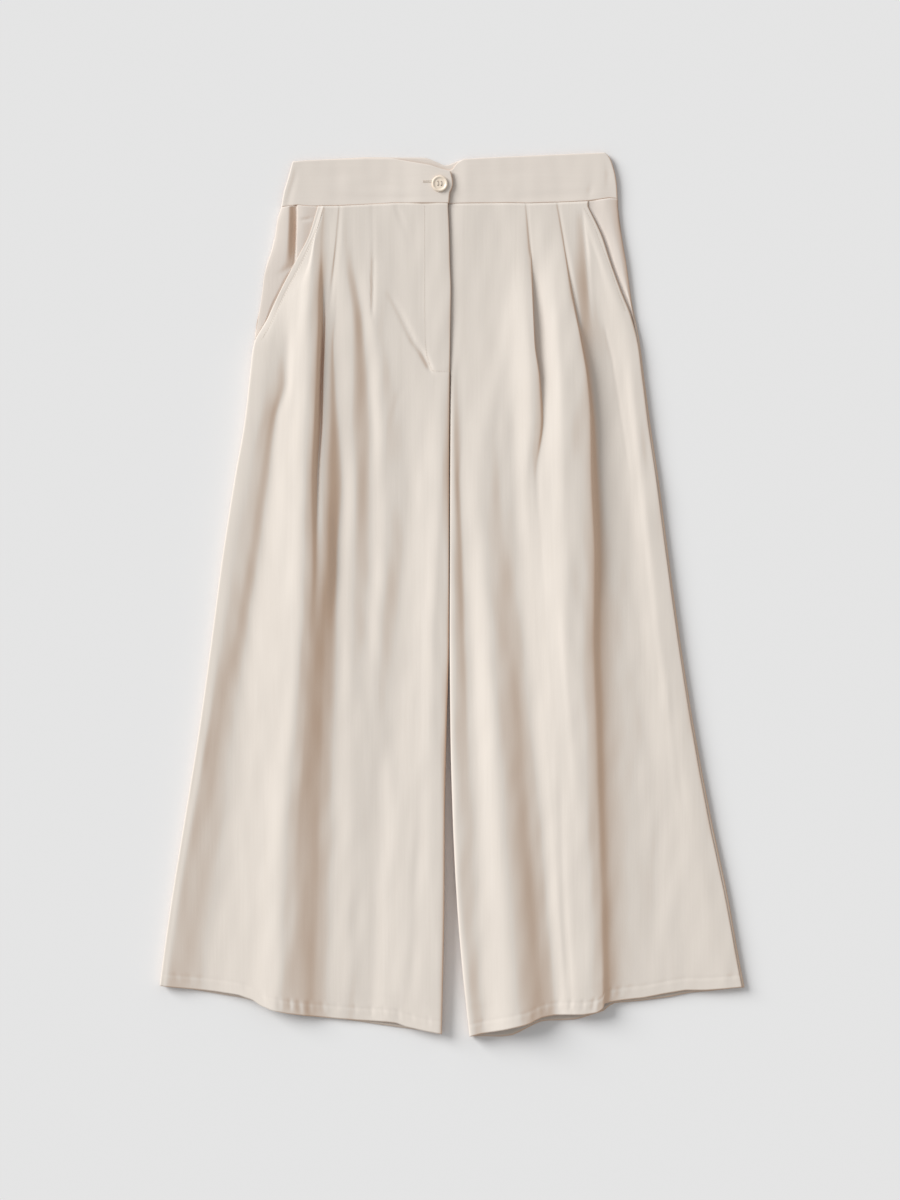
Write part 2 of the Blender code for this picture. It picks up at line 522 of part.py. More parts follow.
def button(collection, cutters):
    """A four-hole button with a raised rim, turned from its profile."""
    radius, thick = BUTTON_RADIUS, BUTTON_THICKNESS
    # distance from the middle, height over the underside
    profile = (
        (0.0, thick * 0.68), (radius * 0.60, thick * 0.68), (radius * 0.70, thick * 0.80),
        (radius * 0.80, thick), (radius * 0.90, thick), (radius * 0.98, thick * 0.78),
        (radius, thick * 0.50), (radius * 0.96, thick * 0.20), (radius * 0.86, 0.0), (0.0, 0.0),
    )
    mesh = bpy.data.meshes.new("button")
    points = [(across * MM, 0, up * MM) for across, up in profile]
    mesh.from_pydata(points, [(i, i + 1) for i in range(len(points) - 1)], [])
    piece = bpy.data.objects.new("button", mesh)
    piece.location = (BUTTON_AT[0] * MM, BUTTON_AT[1] * MM, BUTTON_LIFT * MM)
    collection.objects.link(piece)
    turn = piece.modifiers.new("turn", "SCREW")
    turn.steps = turn.render_steps = BUTTON_STEPS
    turn.use_merge_vertices = True
    turn.merge_threshold = 0.00001
    paint(piece, BUTTON_COLOUR, BUTTON_ROUGHNESS)
    for x in (-BUTTON_HOLE_PITCH, BUTTON_HOLE_PITCH):
        for y in (-BUTTON_HOLE_PITCH, BUTTON_HOLE_PITCH):
            middle = (BUTTON_AT[0] + x, BUTTON_AT[1] + y, BUTTON_LIFT + BUTTON_THICKNESS / 2)
            bpy.ops.mesh.primitive_cylinder_add(
                vertices=BUTTON_HOLE_SIDES,
                radius=BUTTON_HOLE_RADIUS * MM,
                depth=CUTTER_LENGTH * MM,
                location=[length * MM for length in middle],
            )
            drill = bpy.context.object
            drill.name = "button_hole_cutter"
            use_as_cutter(drill, piece, cutters)


def fly_zip(collection):
    """The closed zip behind the fly: a plain strip of tape beside the underlap."""
    size = (ZIP_OUT[1] - ZIP_OUT[0], ZIP_LEVELS[1] - ZIP_LEVELS[0], ZIP_HEIGHTS[1] - ZIP_HEIGHTS[0])
    middle = (-sum(ZIP_OUT) / 2, SEAM_Y - sum(ZIP_LEVELS) / 2, sum(ZIP_HEIGHTS) / 2)
    tape = bmesh.new()
    bmesh.ops.create_cube(tape, size=1)
    bmesh.ops.scale(tape, verts=tape.verts, vec=[length * MM for length in size])
    mesh = bpy.data.meshes.new("fly_zip")
    tape.to_mesh(mesh)
    tape.free()
    piece = bpy.data.objects.new("fly_zip", mesh)
    piece.location = [length * MM for length in middle]
    collection.objects.link(piece)
    paint(piece, ZIP_COLOUR, ZIP_ROUGHNESS)


def main():
    for item in list(bpy.data.objects):
        bpy.data.objects.remove(item, do_unlink=True)
    scene = bpy.context.scene
    parts = bpy.data.collections.new("culottes")
    cutters = bpy.data.collections.new("cutters")
    scene.collection.children.link(parts)
    scene.collection.children.link(cutters)

    front("front_right", FRONT_RIGHT_FOLDS, RIGHT_WAIST, FRONT_RIGHT_HEM, RIGHT, parts)
    front("front_left", FRONT_LEFT_FOLDS, LEFT_WAIST, FRONT_LEFT_HEM, LEFT, parts)
    back("back_right", BACK_RIGHT_EDGES, RIGHT_WAIST, BACK_RIGHT_HEM, RIGHT, parts)
    back("back_left", BACK_LEFT_EDGES, LEFT_WAIST, BACK_LEFT_HEM, LEFT, parts)
    facing("pocket_facing_right", FACING_RIGHT_FOLDS, RIGHT_WAIST, RIGHT, parts)
    facing("pocket_facing_left", FACING_LEFT_FOLDS, LEFT_WAIST, LEFT, parts)

    columns = FRONT_BAND_COLUMNS
    tab = waistband("waistband_front_right", RIGHT_BAND, columns, 1, RIGHT, parts)
    cut_buttonhole(tab, cutters)
    waistband("waistband_front_left", LEFT_BAND, columns, 1, LEFT, parts)
    waistband("waistband_back", BACK_BAND, BACK_BAND_COLUMNS, -1, LEFT, parts)
    fly_zip(parts)
    button(parts, cutters)


main()
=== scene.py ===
"""The looks of a pair of culottes laid flat: thin crepe panels, waistband, stitching and light.

Metres, +Z up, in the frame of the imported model. Right and left are the wearer's.

Places on the garment are given in a drawing grid. Its unit is 1.04 mm; x grows to the wearer's
left with the centre front at 451.5, and y grows from the waist to the hems with the waist seam at
about 207. Heights are millimetres over the floor.
"""

import math

import bmesh
import bpy
import numpy as np
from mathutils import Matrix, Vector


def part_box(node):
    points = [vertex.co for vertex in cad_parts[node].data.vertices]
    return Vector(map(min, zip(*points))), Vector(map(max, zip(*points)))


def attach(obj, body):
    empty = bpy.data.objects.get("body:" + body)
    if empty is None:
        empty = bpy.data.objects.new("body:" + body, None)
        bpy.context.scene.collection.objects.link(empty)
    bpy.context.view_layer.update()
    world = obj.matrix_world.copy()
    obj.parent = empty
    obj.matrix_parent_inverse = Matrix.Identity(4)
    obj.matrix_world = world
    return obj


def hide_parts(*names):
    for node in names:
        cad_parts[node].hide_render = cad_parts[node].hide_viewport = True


MM = 0.001
UNIT = 1.04 * MM
CENTRE_X = 451.5
ORIGIN_Y = 596

WALL = 0.6  # one layer of crepe, millimetres
HEM_WALL = 1.5
HEM_DEPTH = 12  # of the turned-up hem, grid units
HEM_STEP = 2  # the hem's extra thickness grows over this length, grid units
HEM_RAISE = 0.1  # its rise over the leg, millimetres
HEM_GROOVE = (0.2, 1.3)  # of its stitching: depth in millimetres, softness in grid units
PUCKER_FOOT = 5  # the puckers start this far above the hem's stitching, grid units
# What one pucker is made of: share of its depth, distance from its middle, softness
PUCKER_PARTS = ((0.6, 0, 2.1), (-0.3, 4, 2.4))
RELIEF_BASE = 4  # heights over this level, in millimetres, stand up by RELIEF_GAIN
RELIEF_GAIN = 1.25
WAIST_LEVEL = 207
HEM_LEVEL = 1034
WAIST_FADE = 60  # rows nearer the waist than this lean with its edge
HEM_FADE = 620  # rows below this level lean with the hem
EDGE_PASSES = 4  # rounds in which a slanted cut edge finds its place
# Rows of a panel, closer at the waist and the hem: first level of each stretch, rows in it
FRONT_ROWS = ((WAIST_LEVEL, 92), (430, 118), (1004, 20))
BACK_ROWS = ((WAIST_LEVEL, 96), (1004, 14))
FACING_ROWS = 90
BACK_COLUMNS = 24  # from the middle of a back to each of its curled edges
CALM_DOWN, CALM_ACROSS = 10, 2  # softening of a front, in passes
FACING_CALM = 6
PANEL_WANDER, BAND_WANDER = 0.16, 0.1  # slow unevenness of the cloth, millimetres
DENT_TOP = 0.6  # the backs' creases fade where the cloth curls up to this height, millimetres

LEVELS = (207, 236, 262, 290, 318, 345, 380, 420, 480, 560, 640, 730, 820, 900, 960, 1034)

# x of the fronts' side edges at each level: the slanted pocket mouth, and the side seam below it
RIGHT_SIDE = (318, 309, 295.5, 281, 268, 254.5, 250.5, 246, 235.5, 223, 212.5, 200, 185.5, 172.5,
    164, 155)
LEFT_SIDE = (588, 601.6, 610.2, 620.4, 631.4, 638, 642.5, 647.4, 656, 666.5, 677.6, 692, 708.6,
    725.6, 736.6, 751.1)


def beside(line, by):
    """A line of x that runs beside another; `by` is one distance, or one for each level."""
    return tuple(np.add(line, by))


# Folds of the right front, from the side seam to the centre front and the inner leg.
# name, columns to the next fold, x at each level, height at each level
FRONT_RIGHT = (
    ("side_edge", 2,
     RIGHT_SIDE,
     (4.8,) * 5 + (4.2,) + (4,) * 10),
    ("side_turn", 3,
     beside(RIGHT_SIDE, (0.8, 0.8, 0.8, 0.8, 0.6, -0.3) + (-0.6,) * 10),
     (5, 5, 5, 5.1, 5.4, 8.6, 10.8, 10.8, 9.6, 9, 8.6, 8.6, 8.2, 8, 7.8, 7.6)),
    ("side_shoulder", 6,
     beside(RIGHT_SIDE, (2.5, 2.5, 2.5, 3, 3.5, 2.5) + (2,) * 10),
     (5, 5, 5.1, 5.2, 5.8, 8.9, 11.4, 11.1, 9.9, 9.3, 8.8, 8.8, 8.4, 8.1, 7.9, 6.4)),
    ("side_crest", 8,
     (321.5, 312, 300, 287, 275, 268, 264, 258.5, 247, 233, 220.5, 207, 192, 178.5, 170, 160.5),
     (5.1, 5.2, 5.2, 5.4, 6.4, 9.6, 11.8, 11.6, 10.4, 9.6, 9.1, 9.1, 8.7, 8.3, 8.1, 6.4)),
    ("side_mid", 8,
     (322, 313, 303, 290, 280, 277.5, 277.5, 269, 259.5, 247, 233, 216, 203, 191, 184, 176),
     (5.2, 5.4, 5.5, 5.8, 7, 9, 10.9, 10.3, 9.7, 8.6, 7.9, 7.7, 7.2, 6.8, 6.5, 4.2)),
    ("side_valley", 12,
     (322.5, 314, 306, 294, 287, 286, 286, 277, 270, 259.5, 247, 237, 226, 217, 208, 202),
     (5.3, 5.6, 5.9, 6.5, 7.8, 8.8, 9.7, 8.7, 8.2, 6.8, 5.8, 5.2, 4.7, 4.5, 4.4, 3)),
    ("great_rise", 10,
     (323, 315, 309, 300, 297, 296, 295, 292, 288, 284, 276, 268, 262, 258, 255, 252),
     (5.4, 5.9, 6.4, 7.8, 9.6, 11, 12.2, 12.3, 11.9, 11.3, 10.3, 9, 8.2, 8.2, 8.4, 8.2)),
    ("great_crest", 6,
     (323.5, 316, 312.6, 310, 309, 309, 308.5, 306.5, 304.5, 303, 299, 293, 286, 282, 280, 277),
     (5.5, 6.2, 7.6, 9.9, 12.3, 13.6, 14.6, 15.2, 15.5, 15.4, 14.6, 13.4, 12.6, 12.2, 12.2, 12)),
    ("great_brow", 8,
     (324, 320.6, 319.4, 319, 319, 318.4, 317.4, 315.4, 312.8, 312, 307, 302, 296, 292, 289, 286),
     (5.4, 5.7, 6.7, 8.6, 10.8, 12.3, 13.4, 14.1, 14.2, 14.2, 13.5, 12.6, 11.9, 11.5, 11.5, 11.4)),
    ("great_foot", 5,
     (325, 324.4, 323.6, 323.4, 323.6, 323.2, 321.8, 321, 318, 318, 315, 309.6, 304.4, 302, 298.6,
      296),
     (5.2, 5.2, 5.6, 5.4, 4.7, 4.3, 4.9, 6.4, 9.2, 11.9, 11.5, 10.9, 10.2, 10, 10, 10)),
    ("tuck_edge", 5,
     (329, 329.4, 328.8, 327.8, 326.6, 325.4, 324, 323.6, 321.2, 323.6, 320.4, 317, 313, 311, 308,
      305),
     (5.1, 5, 5.1, 5.2, 6.4, 7.6, 8.4, 9.5, 10.6, 11, 9.5, 8.4, 7.7, 7.7, 8, 8.2)),
    ("ledge_end", 8,
     (333, 332, 333, 334, 333, 331, 330, 329.5, 327.5, 328.8, 326.4, 324, 321, 319.4, 317, 314),
     (5.1, 5.1, 5.2, 5.4, 6.2, 7.2, 8, 9, 10, 9.4, 7, 6.1, 5.5, 5.5, 5.6, 5.6)),
    ("third_foot", 8,
     (337, 335, 336, 337, 336.5, 335, 336.5, 339, 342, 338, 337.4, 336, 334, 333, 331.4, 330),
     (5.2, 5.2, 5.3, 5.5, 6.1, 6.6, 6.7, 6.3, 4.8, 3.9, 4.2, 4.3, 4, 4, 4, 3.8)),
    ("outer_pleat", 10,
     (342, 342, 344, 348.6, 351.6, 352.6, 352, 352.4, 354.6, 353, 350.6, 351, 352, 350, 348, 346),
     (5.3, 5.4, 5.6, 6.4, 7.1, 7.4, 7.5, 7.3, 6.4, 5.9, 5.6, 5.5, 5.3, 5.2, 5, 3.6)),
    ("second_foot", 8,
     (352, 352, 354.6, 359.4, 363, 365.6, 368, 370.8, 371, 371, 367, 365, 364.4, 361.6, 358, 355),
     (5, 5, 4.9, 4.6, 4.5, 4.6, 4.5, 4.3, 3.9, 3.9, 4.8, 5.4, 5.2, 5.1, 4.9, 3.2)),
    ("inner_pleat", 12,
     (372, 372, 368, 370, 373, 377, 380, 382, 384, 385, 379, 376, 378, 374, 371, 367),
     (5.1, 5.1, 5.2, 5.4, 5.6, 5.8, 5.9, 5.8, 5.2, 5.5, 5.6, 5.2, 5.1, 5.1, 4.9, 3.2)),
    ("inner_valley", 14,
     (390,) * 5 + (391, 396, 404, 406, 404, 398, 393, 394, 391, 388, 383),
     (5, 5, 5.1, 5.2, 5.3, 5.2, 5, 4.9, 4.5, 4.1, 4.2, 5.2, 6.8, 7.2, 7, 4.4)),
    ("fly_ridge", 12,
     (424,) * 10 + (420, 416, 414, 412, 410, 408),
     (5.7,) * 7 + (5.8, 6.3, 6.5, 6.2, 7.2, 8.5, 8.9, 8.9, 6.4)),
    ("inner_crest", 8,
     (441,) * 8 + (440, 438, 434, 433, 433, 433, 432, 430),
     (6.3,) * 6 + (6.5, 7.2, 8.4, 8.6, 8.6, 9.3, 10.1, 10.4, 10.4, 8.6)),
    ("inner_shoulder", 5,
     (446.5, 447.2, 447.6, 448, 448, 448, 447.6, 446.6, 446, 445.5, 443, 441.5, 440.5, 440, 439.5,
      438.5),
     (6.2,) * 6 + (6.3, 6.8, 7.8, 8.5, 8.3, 9, 10.3, 10.6, 10.7, 9)),
    ("inner_turn", 2,
     (448, 449.2, 449.8, 450.8, 450.4, 450, 449.6, 449.3, 449.1, 449.1, 448.9, 446.5, 444.7, 444.4,
      443.4, 441.8),
     (5.9,) * 6 + (5.8, 5.8, 6.4, 8, 7.4, 7.6, 9.5, 9.8, 9.9, 8.2)),
    ("inner_edge", 0,
     (447.6, 448.8, 449.5, 450.5, 450.1, 449.7, 449.4, 449.2, 449, 449, 448.8, 446.3, 444.5, 444,
      443, 441.4),
     (5.3,) * 6 + (5, 4.6, 4.2) + (4,) * 7),
)

# Folds of the left front, from the fly underlap and the inner leg to the side seam
FRONT_LEFT = (
    ("inner_edge", 2,
     (445,) * 5 + (445.5, 450.2, 450.6, 450.4, 450.3, 450.1, 450.9, 453.4, 457.3, 462, 469.8),
     (2.6, 2.6, 2.6, 2.6, 2.8, 3, 3.8) + (4.2,) * 9),
    ("inner_turn", 4,
     (447,) * 5 + (447.5, 450.6, 450.5, 450.1, 449.9, 449.7, 450.4, 452.8, 456.8, 461.5, 469.3),
     (3.2,) * 5 + (3.6, 4.6, 5.5, 6.6, 8, 8.2, 10, 12, 12.8, 12.8, 10.6)),
    ("inner_crest", 8,
     (456,) * 6 + (453, 453, 453.4, 453.8, 454.2, 454.4, 457, 460.5, 465.5, 473.5),
     (4.2,) * 5 + (4.4, 5.1, 6, 7.4, 8.3, 9, 11, 13.2, 14, 14, 11.6)),
    ("inner_dip", 9,
     (466,) * 5 + (465, 461, 461.4, 463, 466, 469.4, 473.4, 476, 479, 481, 486),
     (4.6,) * 6 + (4.7, 5, 5.9, 6.3, 6.7, 8.8, 11.3, 12.4, 12.5, 10.6)),
    ("leg_crest", 14,
     (490, 490, 490, 492, 494, 493, 488, 484, 482, 485, 490, 496, 501, 508, 511, 517),
     (4.6, 4.5, 4.5, 4.7, 5, 5.3, 6, 6.8, 7.8, 9, 11, 13.8, 16.2, 17.2, 17.4, 17.2)),
    ("leg_foot", 10,
     (508, 508, 508, 509, 510, 511, 511, 512, 513, 517, 524, 532, 541, 547, 552, 557),
     (4.9, 4.9, 5.1, 5.7, 6.8, 7.4, 7.5, 7, 6.4, 5.9, 6.2, 7.4, 8.8, 9.2, 9, 8)),
    ("first_crest", 7,
     (521, 523, 524, 526, 527, 529, 531, 532, 527, 532, 537, 545, 553, 558, 563, 568),
     (5.2, 5.4, 6.2, 8, 9.8, 11.2, 11.9, 11.5, 8.8, 7.9, 7.8, 9.1, 10.5, 10.9, 10.7, 9.5)),
    ("first_edge", 5,
     (527, 529, 531, 532.2, 533.4, 534.8, 539.6, 541, 533, 538, 542, 550, 557, 562, 567, 571),
     (5.2, 5.2, 5.6, 7.8, 9.8, 11, 11.2, 10.8, 9.1, 8.8, 8.8, 9.9, 11.1, 11.4, 11.3, 9.9)),
    ("first_under", 6,
     (528.5, 530.5, 532, 532.8, 533.5, 535, 540, 543, 537, 542, 546, 554, 560.5, 565, 569.5, 573),
     (5.1, 5.1, 5.1, 4.8, 5.2, 5.8, 7.6, 9.4, 9.2, 9.5, 9.7, 10.6, 11.6, 11.8, 11.6, 10.2)),
    ("first_foot", 6,
     (531, 533, 535.8, 537, 538.4, 540, 544.2, 546.4, 543, 546, 550, 558, 564, 568, 572, 575),
     (5.1, 5.1, 5.2, 5, 5.2, 6, 8.2, 9.8, 9.9, 10.5, 10.5, 11.2, 12, 12.1, 11.9, 10.5)),
    ("second_rise", 7,
     (538, 541, 543, 545, 548, 550, 552, 553, 551, 553, 557, 565, 570, 574, 576, 578),
     (5.3, 5.6, 6, 6.8, 7.8, 8.8, 10.4, 11.6, 11.6, 12.2, 12.2, 12.2, 12.5, 12.4, 12.2, 10.8)),
    ("second_crest", 7,
     (548, 552, 554, 556, 558, 560, 562, 563, 564, 567, 566, 573, 578, 581, 583, 585),
     (5.5, 5.9, 6.9, 8.6, 10.2, 11.4, 13, 14, 14.3, 14.9, 14.2, 13.6, 13.1, 12.8, 12.5, 11.2)),
    ("second_brow", 9,
     (553, 558, 562, 565, 568, 571, 574, 575, 576, 582, 579, 583, 586, 589, 590, 592),
     (5.4, 5.9, 7, 8.7, 10.3, 11.5, 12.8, 13.6, 14, 14.7, 14.4, 13.9, 13.4, 13.1, 12.7, 11)),
    ("second_edge", 7,
     (557.4, 562, 565.6, 570.2, 576, 581.4, 587.4, 590.6, 591.4, 594.4, 592.4, 595, 597.4, 600,
      601.4, 603),
     (5.3, 5.7, 6.9, 8.2, 9.8, 10.7, 11.4, 11.8, 12.4, 12.8, 12.7, 12.3, 12, 11.9, 11.7, 9.8)),
    ("second_under", 6,
     (559, 563.4, 566.8, 571.2, 576.3, 581.6, 587.8, 592, 594.6, 598.6, 600, 604, 606.6, 609.4,
      609.6, 607.6),
     (5.2, 5.5, 6.7, 7.3, 8, 6.6, 5.4, 5.6, 6.6, 7.8, 8.2, 8.2, 8.3, 8.3, 8.2, 6.6)),
    ("second_foot", 9,
     (562, 566, 572, 577, 581, 586.4, 592.4, 597, 600.8, 606.6, 612.6, 618.6, 622.4, 624.6, 624.4,
      616),
     (5.2, 5.5, 6.6, 6.9, 6.8, 4.8, 3.6, 3.6, 4.2, 5.2, 5.8, 6, 6, 6, 6, 5.2)),
    ("great_valley", 9,
     (575, 582, 590, 594, 599, 605, 611, 616, 622, 631, 638, 645, 650, 653, 656, 658),
     (5, 4.8, 4.4, 3.6, 3, 2.8, 2.8, 3, 3.5, 4.1, 4.6, 4.9, 5.1, 5.3, 5.3, 3.9)),
    ("side_flat", 9,
     (580, 588, 597, 603, 610, 616, 623, 628, 635, 644, 652, 663, 673, 681, 688, 704),
     (5.1, 4.7, 4.5, 4.2, 4.1, 4.1, 4.3, 4.6, 5, 5.4, 5.7, 5.8, 5.6, 5.6, 5.6, 4.4)),
    ("side_crest", 7,
     (583, 594, 603, 613, 624, 630, 633, 637, 644, 653, 662, 677, 692, 709, 721, 737),
     (5.2, 5.3, 5.4, 5.6, 5.7, 6, 6.1, 6.2, 6.4, 6.7, 6.9, 6.9, 6.7, 6.6, 6.6, 5.6)),
    ("side_turn", 3,
     beside(LEFT_SIDE, -0.8),
     (5.3, 5.3, 5.3, 5.3, 5.4, 5.7, 5.8, 5.9, 6, 6.2, 6.4, 6.5, 6.4, 6.4, 6.4, 5.5)),
    ("side_edge", 0,
     LEFT_SIDE,
     (4.6,) * 5 + (5.2, 5.4, 5.6, 5.8, 6, 6.2, 6.1, 6, 6, 6, 5.2)),
)

# Cut edges of the panels: x, y
RIGHT_WAIST = ((281, 207.8), (297, 205.3), (310, 206.6), (341, 206.2), (364, 205.0), (395, 203.4),
               (451, 203.4))
LEFT_WAIST = ((445, 204.0), (506, 203.3), (530, 203.8), (558, 202.9), (586, 201.7), (610, 198.4),
              (618, 199.1))
RIGHT_HEM = (
    (155, 984), (160, 985), (170, 986.4), (189.5, 988.4), (215, 991), (239, 994.4), (253, 999),
    (261, 1004.6), (273, 1009.5), (288, 1012.5), (306, 1015), (328, 1017.4), (358, 1020),
    (387, 1021.4), (397, 1022.7), (407, 1026.3), (427, 1030.7), (441.6, 1033.2),
)
LEFT_HEM = (
    (469.6, 1035.5), (481, 1032.7), (501, 1029), (528, 1022.9), (534, 1019.8), (542, 1016.3),
    (554, 1014.3), (566, 1013.7), (583, 1013.7), (597, 1011.6), (603, 1007.6), (604, 1002.4),
    (624, 999.4), (644, 997.3), (664.5, 993.3), (685, 989.8), (705, 989.8), (726, 988.2),
    (743.7, 986.5),
)


def tangents(at, values):
    """Slopes at the knots of a curve that never overshoots its values; knots on the last axis."""
    gap = np.diff(at)
    rise = np.diff(values, axis=-1) / gap
    slope = np.zeros_like(values)
    slope[..., [0, -1]] = rise[..., [0, -1]]
    before, after = rise[..., :-1], rise[..., 1:]
    weight_before = 2 * gap[1:] + gap[:-1]
    weight_after = gap[1:] + 2 * gap[:-1]
    with np.errstate(divide="ignore", invalid="ignore"):
        mean = (weight_before + weight_after) / (weight_before / before + weight_after / after)
    slope[..., 1:-1] = np.where(before * after > 0, mean, 0)
    return slope


def smooth(at, values, where):
    """Smooth curve through the values (knots on the last axis), read at each point of `where`.

    The values are one curve for all points, or one curve for each point.
    """
    at, values, where = np.asarray(at, float), np.asarray(values, float), np.asarray(where, float)
    slope = np.broadcast_to(tangents(at, values), where.shape + at.shape)
    values = np.broadcast_to(values, where.shape + at.shape)
    span = np.clip(np.searchsorted(at, where, side="right") - 1, 0, len(at) - 2)
    width = at[span + 1] - at[span]
    share = np.clip((where - at[span]) / width, 0, 1)

    def pick(table, index):
        return np.take_along_axis(table, index[..., None], axis=-1)[..., 0]

    start, end = pick(values, span), pick(values, span + 1)
    leave, arrive = pick(slope, span) * width, pick(slope, span + 1) * width
    square, cube = share**2, share**3
    return (
        start * (2 * cube - 3 * square + 1)
        + leave * (cube - 2 * square + share)
        + end * (3 * square - 2 * cube)
        + arrive * (cube - square)
    )


def straight(table, where):
    """Straight-line reading of a table of pairs."""
    across, along = zip(*table)
    return np.interp(where, across, along)


def calm(grid, passes, axis):
    """Softens a grid along one axis and leaves its two ends where they are."""
    grid = np.moveaxis(grid.copy(), axis, 0)
    for _ in range(passes):
        grid[1:-1] = (grid[:-2] + 2 * grid[1:-1] + grid[2:]) / 4
    return np.moveaxis(grid, 0, axis)


def spread_rows(stretches):
    """Levels of a panel's rows, down to the hem."""
    ends = [start for start, _ in stretches[1:]] + [HEM_LEVEL]
    return np.concatenate([
        np.linspace(start, end, count, endpoint=end == HEM_LEVEL)
        for (start, count), end in zip(stretches, ends)
    ])


def fold_surface(folds, levels, rows, waist, hem=None):
    """x, y and height of a panel, each an array of rows and columns, from its table of folds."""
    _, counts, places, lifts = zip(*folds)
    knots = np.cumsum((0,) + counts[:-1])
    columns = np.arange(knots[-1] + 1)

    def across(y):
        at = np.broadcast_to(columns, y.shape)
        return (
            smooth(knots, np.stack([smooth(levels, line, y) for line in table], axis=-1), at)
            for table in (places, lifts)
        )

    def edge(table, start):
        level = np.full(len(columns), float(start))
        for _ in range(EDGE_PASSES):
            x, _ = across(level)
            level = straight(table, x)
        return level

    nominal = np.asarray(rows, float)[:, None] * np.ones(len(columns))
    near_waist = np.clip(1 - (nominal - levels[0]) / WAIST_FADE, 0, 1)
    y = nominal + (edge(waist, levels[0]) - levels[0]) * near_waist
    if hem:
        lean = np.clip((nominal - HEM_FADE) / (levels[-1] - HEM_FADE), 0, 1)
        y += (edge(hem, levels[-1]) - levels[-1]) * lean
    x, height = across(y)
    return x, y, height + (RELIEF_GAIN - 1) * np.clip(height - RELIEF_BASE, 0, None)


def in_metres(x, y, height):
    """Points in the model's frame from grid places and heights."""
    return np.stack([(x - CENTRE_X) * UNIT, (ORIGIN_Y - y) * UNIT, height * MM], axis=-1)


def grid_normals(points, facing):
    """Unit normals of a grid of points; `facing` is +1 for a face that mostly looks up."""
    normal = np.cross(np.gradient(points, axis=1), np.gradient(points, axis=0))
    length = np.linalg.norm(normal, axis=-1, keepdims=True)
    normal = normal / np.maximum(length, 1e-12)
    return -normal if normal[..., 2].sum() * facing < 0 else normal


def grid_faces(index):
    """Faces between the neighbours in a grid of point numbers."""
    return np.stack(
        [index[:-1, :-1], index[:-1, 1:], index[1:, 1:], index[1:, :-1]], axis=-1
    ).reshape(-1, 4)


def add_object(name, data):
    item = bpy.data.objects.new(name, data)
    bpy.context.scene.collection.objects.link(item)
    return item


def mesh_object(name, verts, faces, material):
    mesh = bpy.data.meshes.new(name)
    mesh.from_pydata(verts, [], faces)
    solid = bmesh.new()
    solid.from_mesh(mesh)
    bmesh.ops.recalc_face_normals(solid, faces=solid.faces)
    solid.to_mesh(mesh)
    solid.free()
    mesh.shade_smooth()
    mesh.materials.append(material)
    return add_object(name, mesh)


def shell(name, points, wall, facing, material):
    """A closed shell: the grid of points is its face, and its wall in metres lies behind it."""
    behind = points - grid_normals(points, facing) * np.asarray(wall)[..., None]
    count = points[..., 0].size
    index = np.arange(count).reshape(points.shape[:2])
    rim = np.concatenate([index[0, :], index[1:, -1], index[-1, -2::-1], index[-2:0:-1, 0]])
    after = np.roll(rim, -1)
    sides = np.stack([after, rim, rim + count, after + count], axis=-1)
    verts = np.concatenate([points.reshape(-1, 3), behind.reshape(-1, 3)])
    faces = np.concatenate([grid_faces(index), grid_faces(index + count)[:, ::-1], sides])
    return mesh_object(name, verts.tolist(), faces.tolist(), material)


# Edge stitching of the two pocket mouths
RIGHT_MOUTH = ((323, 212), (314.5, 236), (302, 262), (286, 292), (272, 322), (262, 340))
LEFT_MOUTH = ((583.5, 208), (592, 223), (601, 246), (609.6, 269), (618.4, 295), (625, 312))


def sunk(line, depths):
    """A line of points with its depths."""
    return tuple((x, y, depth) for (x, y), depth in zip(line, depths))


# Fine creases. Each is a line of points (x, y, depth in millimetres; negative stands up), with its
# softness towards smaller x and towards larger x, in grid units, for a line that runs down the leg.
RIGHT_CREASES = (
    # pleats sewn down below the waist, and what shows of them further down
    (((340, 205, 0.3), (337, 240, 0.5), (333, 276, 0.6), (330, 300, 0.3), (328, 320, 0)), 0.9, 3),
    (((372, 205, 0.2), (372.5, 232, 0.3), (372.5, 256, 0.4), (372.6, 262, 0.8), (372.4, 290, 0.9),
      (372, 308, 0.7), (371.8, 320, 0)), 0.8, 2.6),
    # pull from the end of the fly
    (((386, 292, 0), (393, 301, 0.5), (402, 318.6, 1), (414, 343.6, 1.6), (421, 352, 1.9),
      (428.6, 366.8, 2), (432, 372, 0.4)), 1.8, 3),
    (((396, 207, 0.5), (402, 222, 0.4), (409, 244, 0)), 1.8, 2.4),
    (((408, 380, 0), (398, 398, 0.15), (392, 420, 0.15), (388, 448, 0)), 3, 4),
    # seam ridge of the fly's stitching
    (((424.5, 206, 0.1), (424.6, 300, 0.1), (425, 345, 0.15), (427, 360, 0.2), (432, 371, 0.3),
      (449, 372, 0.3)), 1, 1),
    # edge stitching of the pocket mouth
    (sunk(RIGHT_MOUTH, (0.2, 0.24, 0.24, 0.26, 0.26, 0.1)), 1, 1),
    # soft dents down the leg
    (((300, 560, 0), (294, 620, 0.5), (286, 700, 0.4), (278, 770, 0)), 7, 9),
    (((420, 500, 0), (418, 560, 0.3), (414, 620, 0.4), (411, 690, 0)), 6, 8),
    (((346, 600, 0), (343, 660, 0.4), (342, 720, 0)), 5, 6),
    (((233, 640, 0), (226, 700, 0.5), (216, 780, 0.4), (206, 850, 0)), 5, 8),
    (((424, 760, 0), (420, 830, 0.6), (416, 900, 0.6), (414, 960, 0.5), (412, 1004, 0)), 5, 7),
    (((262, 880, 0), (256, 930, 0.5), (250, 985, 0.4)), 8, 10),
    (((394, 210, 0), (395, 240, 0.15), (396, 290, 0.15), (396, 330, 0)), 6, 6),
    (((352, 214, 0), (354, 250, 0.25), (352, 290, 0)), 4, 5),
    (((288, 380, 0), (284, 410, -0.4), (280, 450, -0.3), (278, 480, 0)), 5, 6),
)
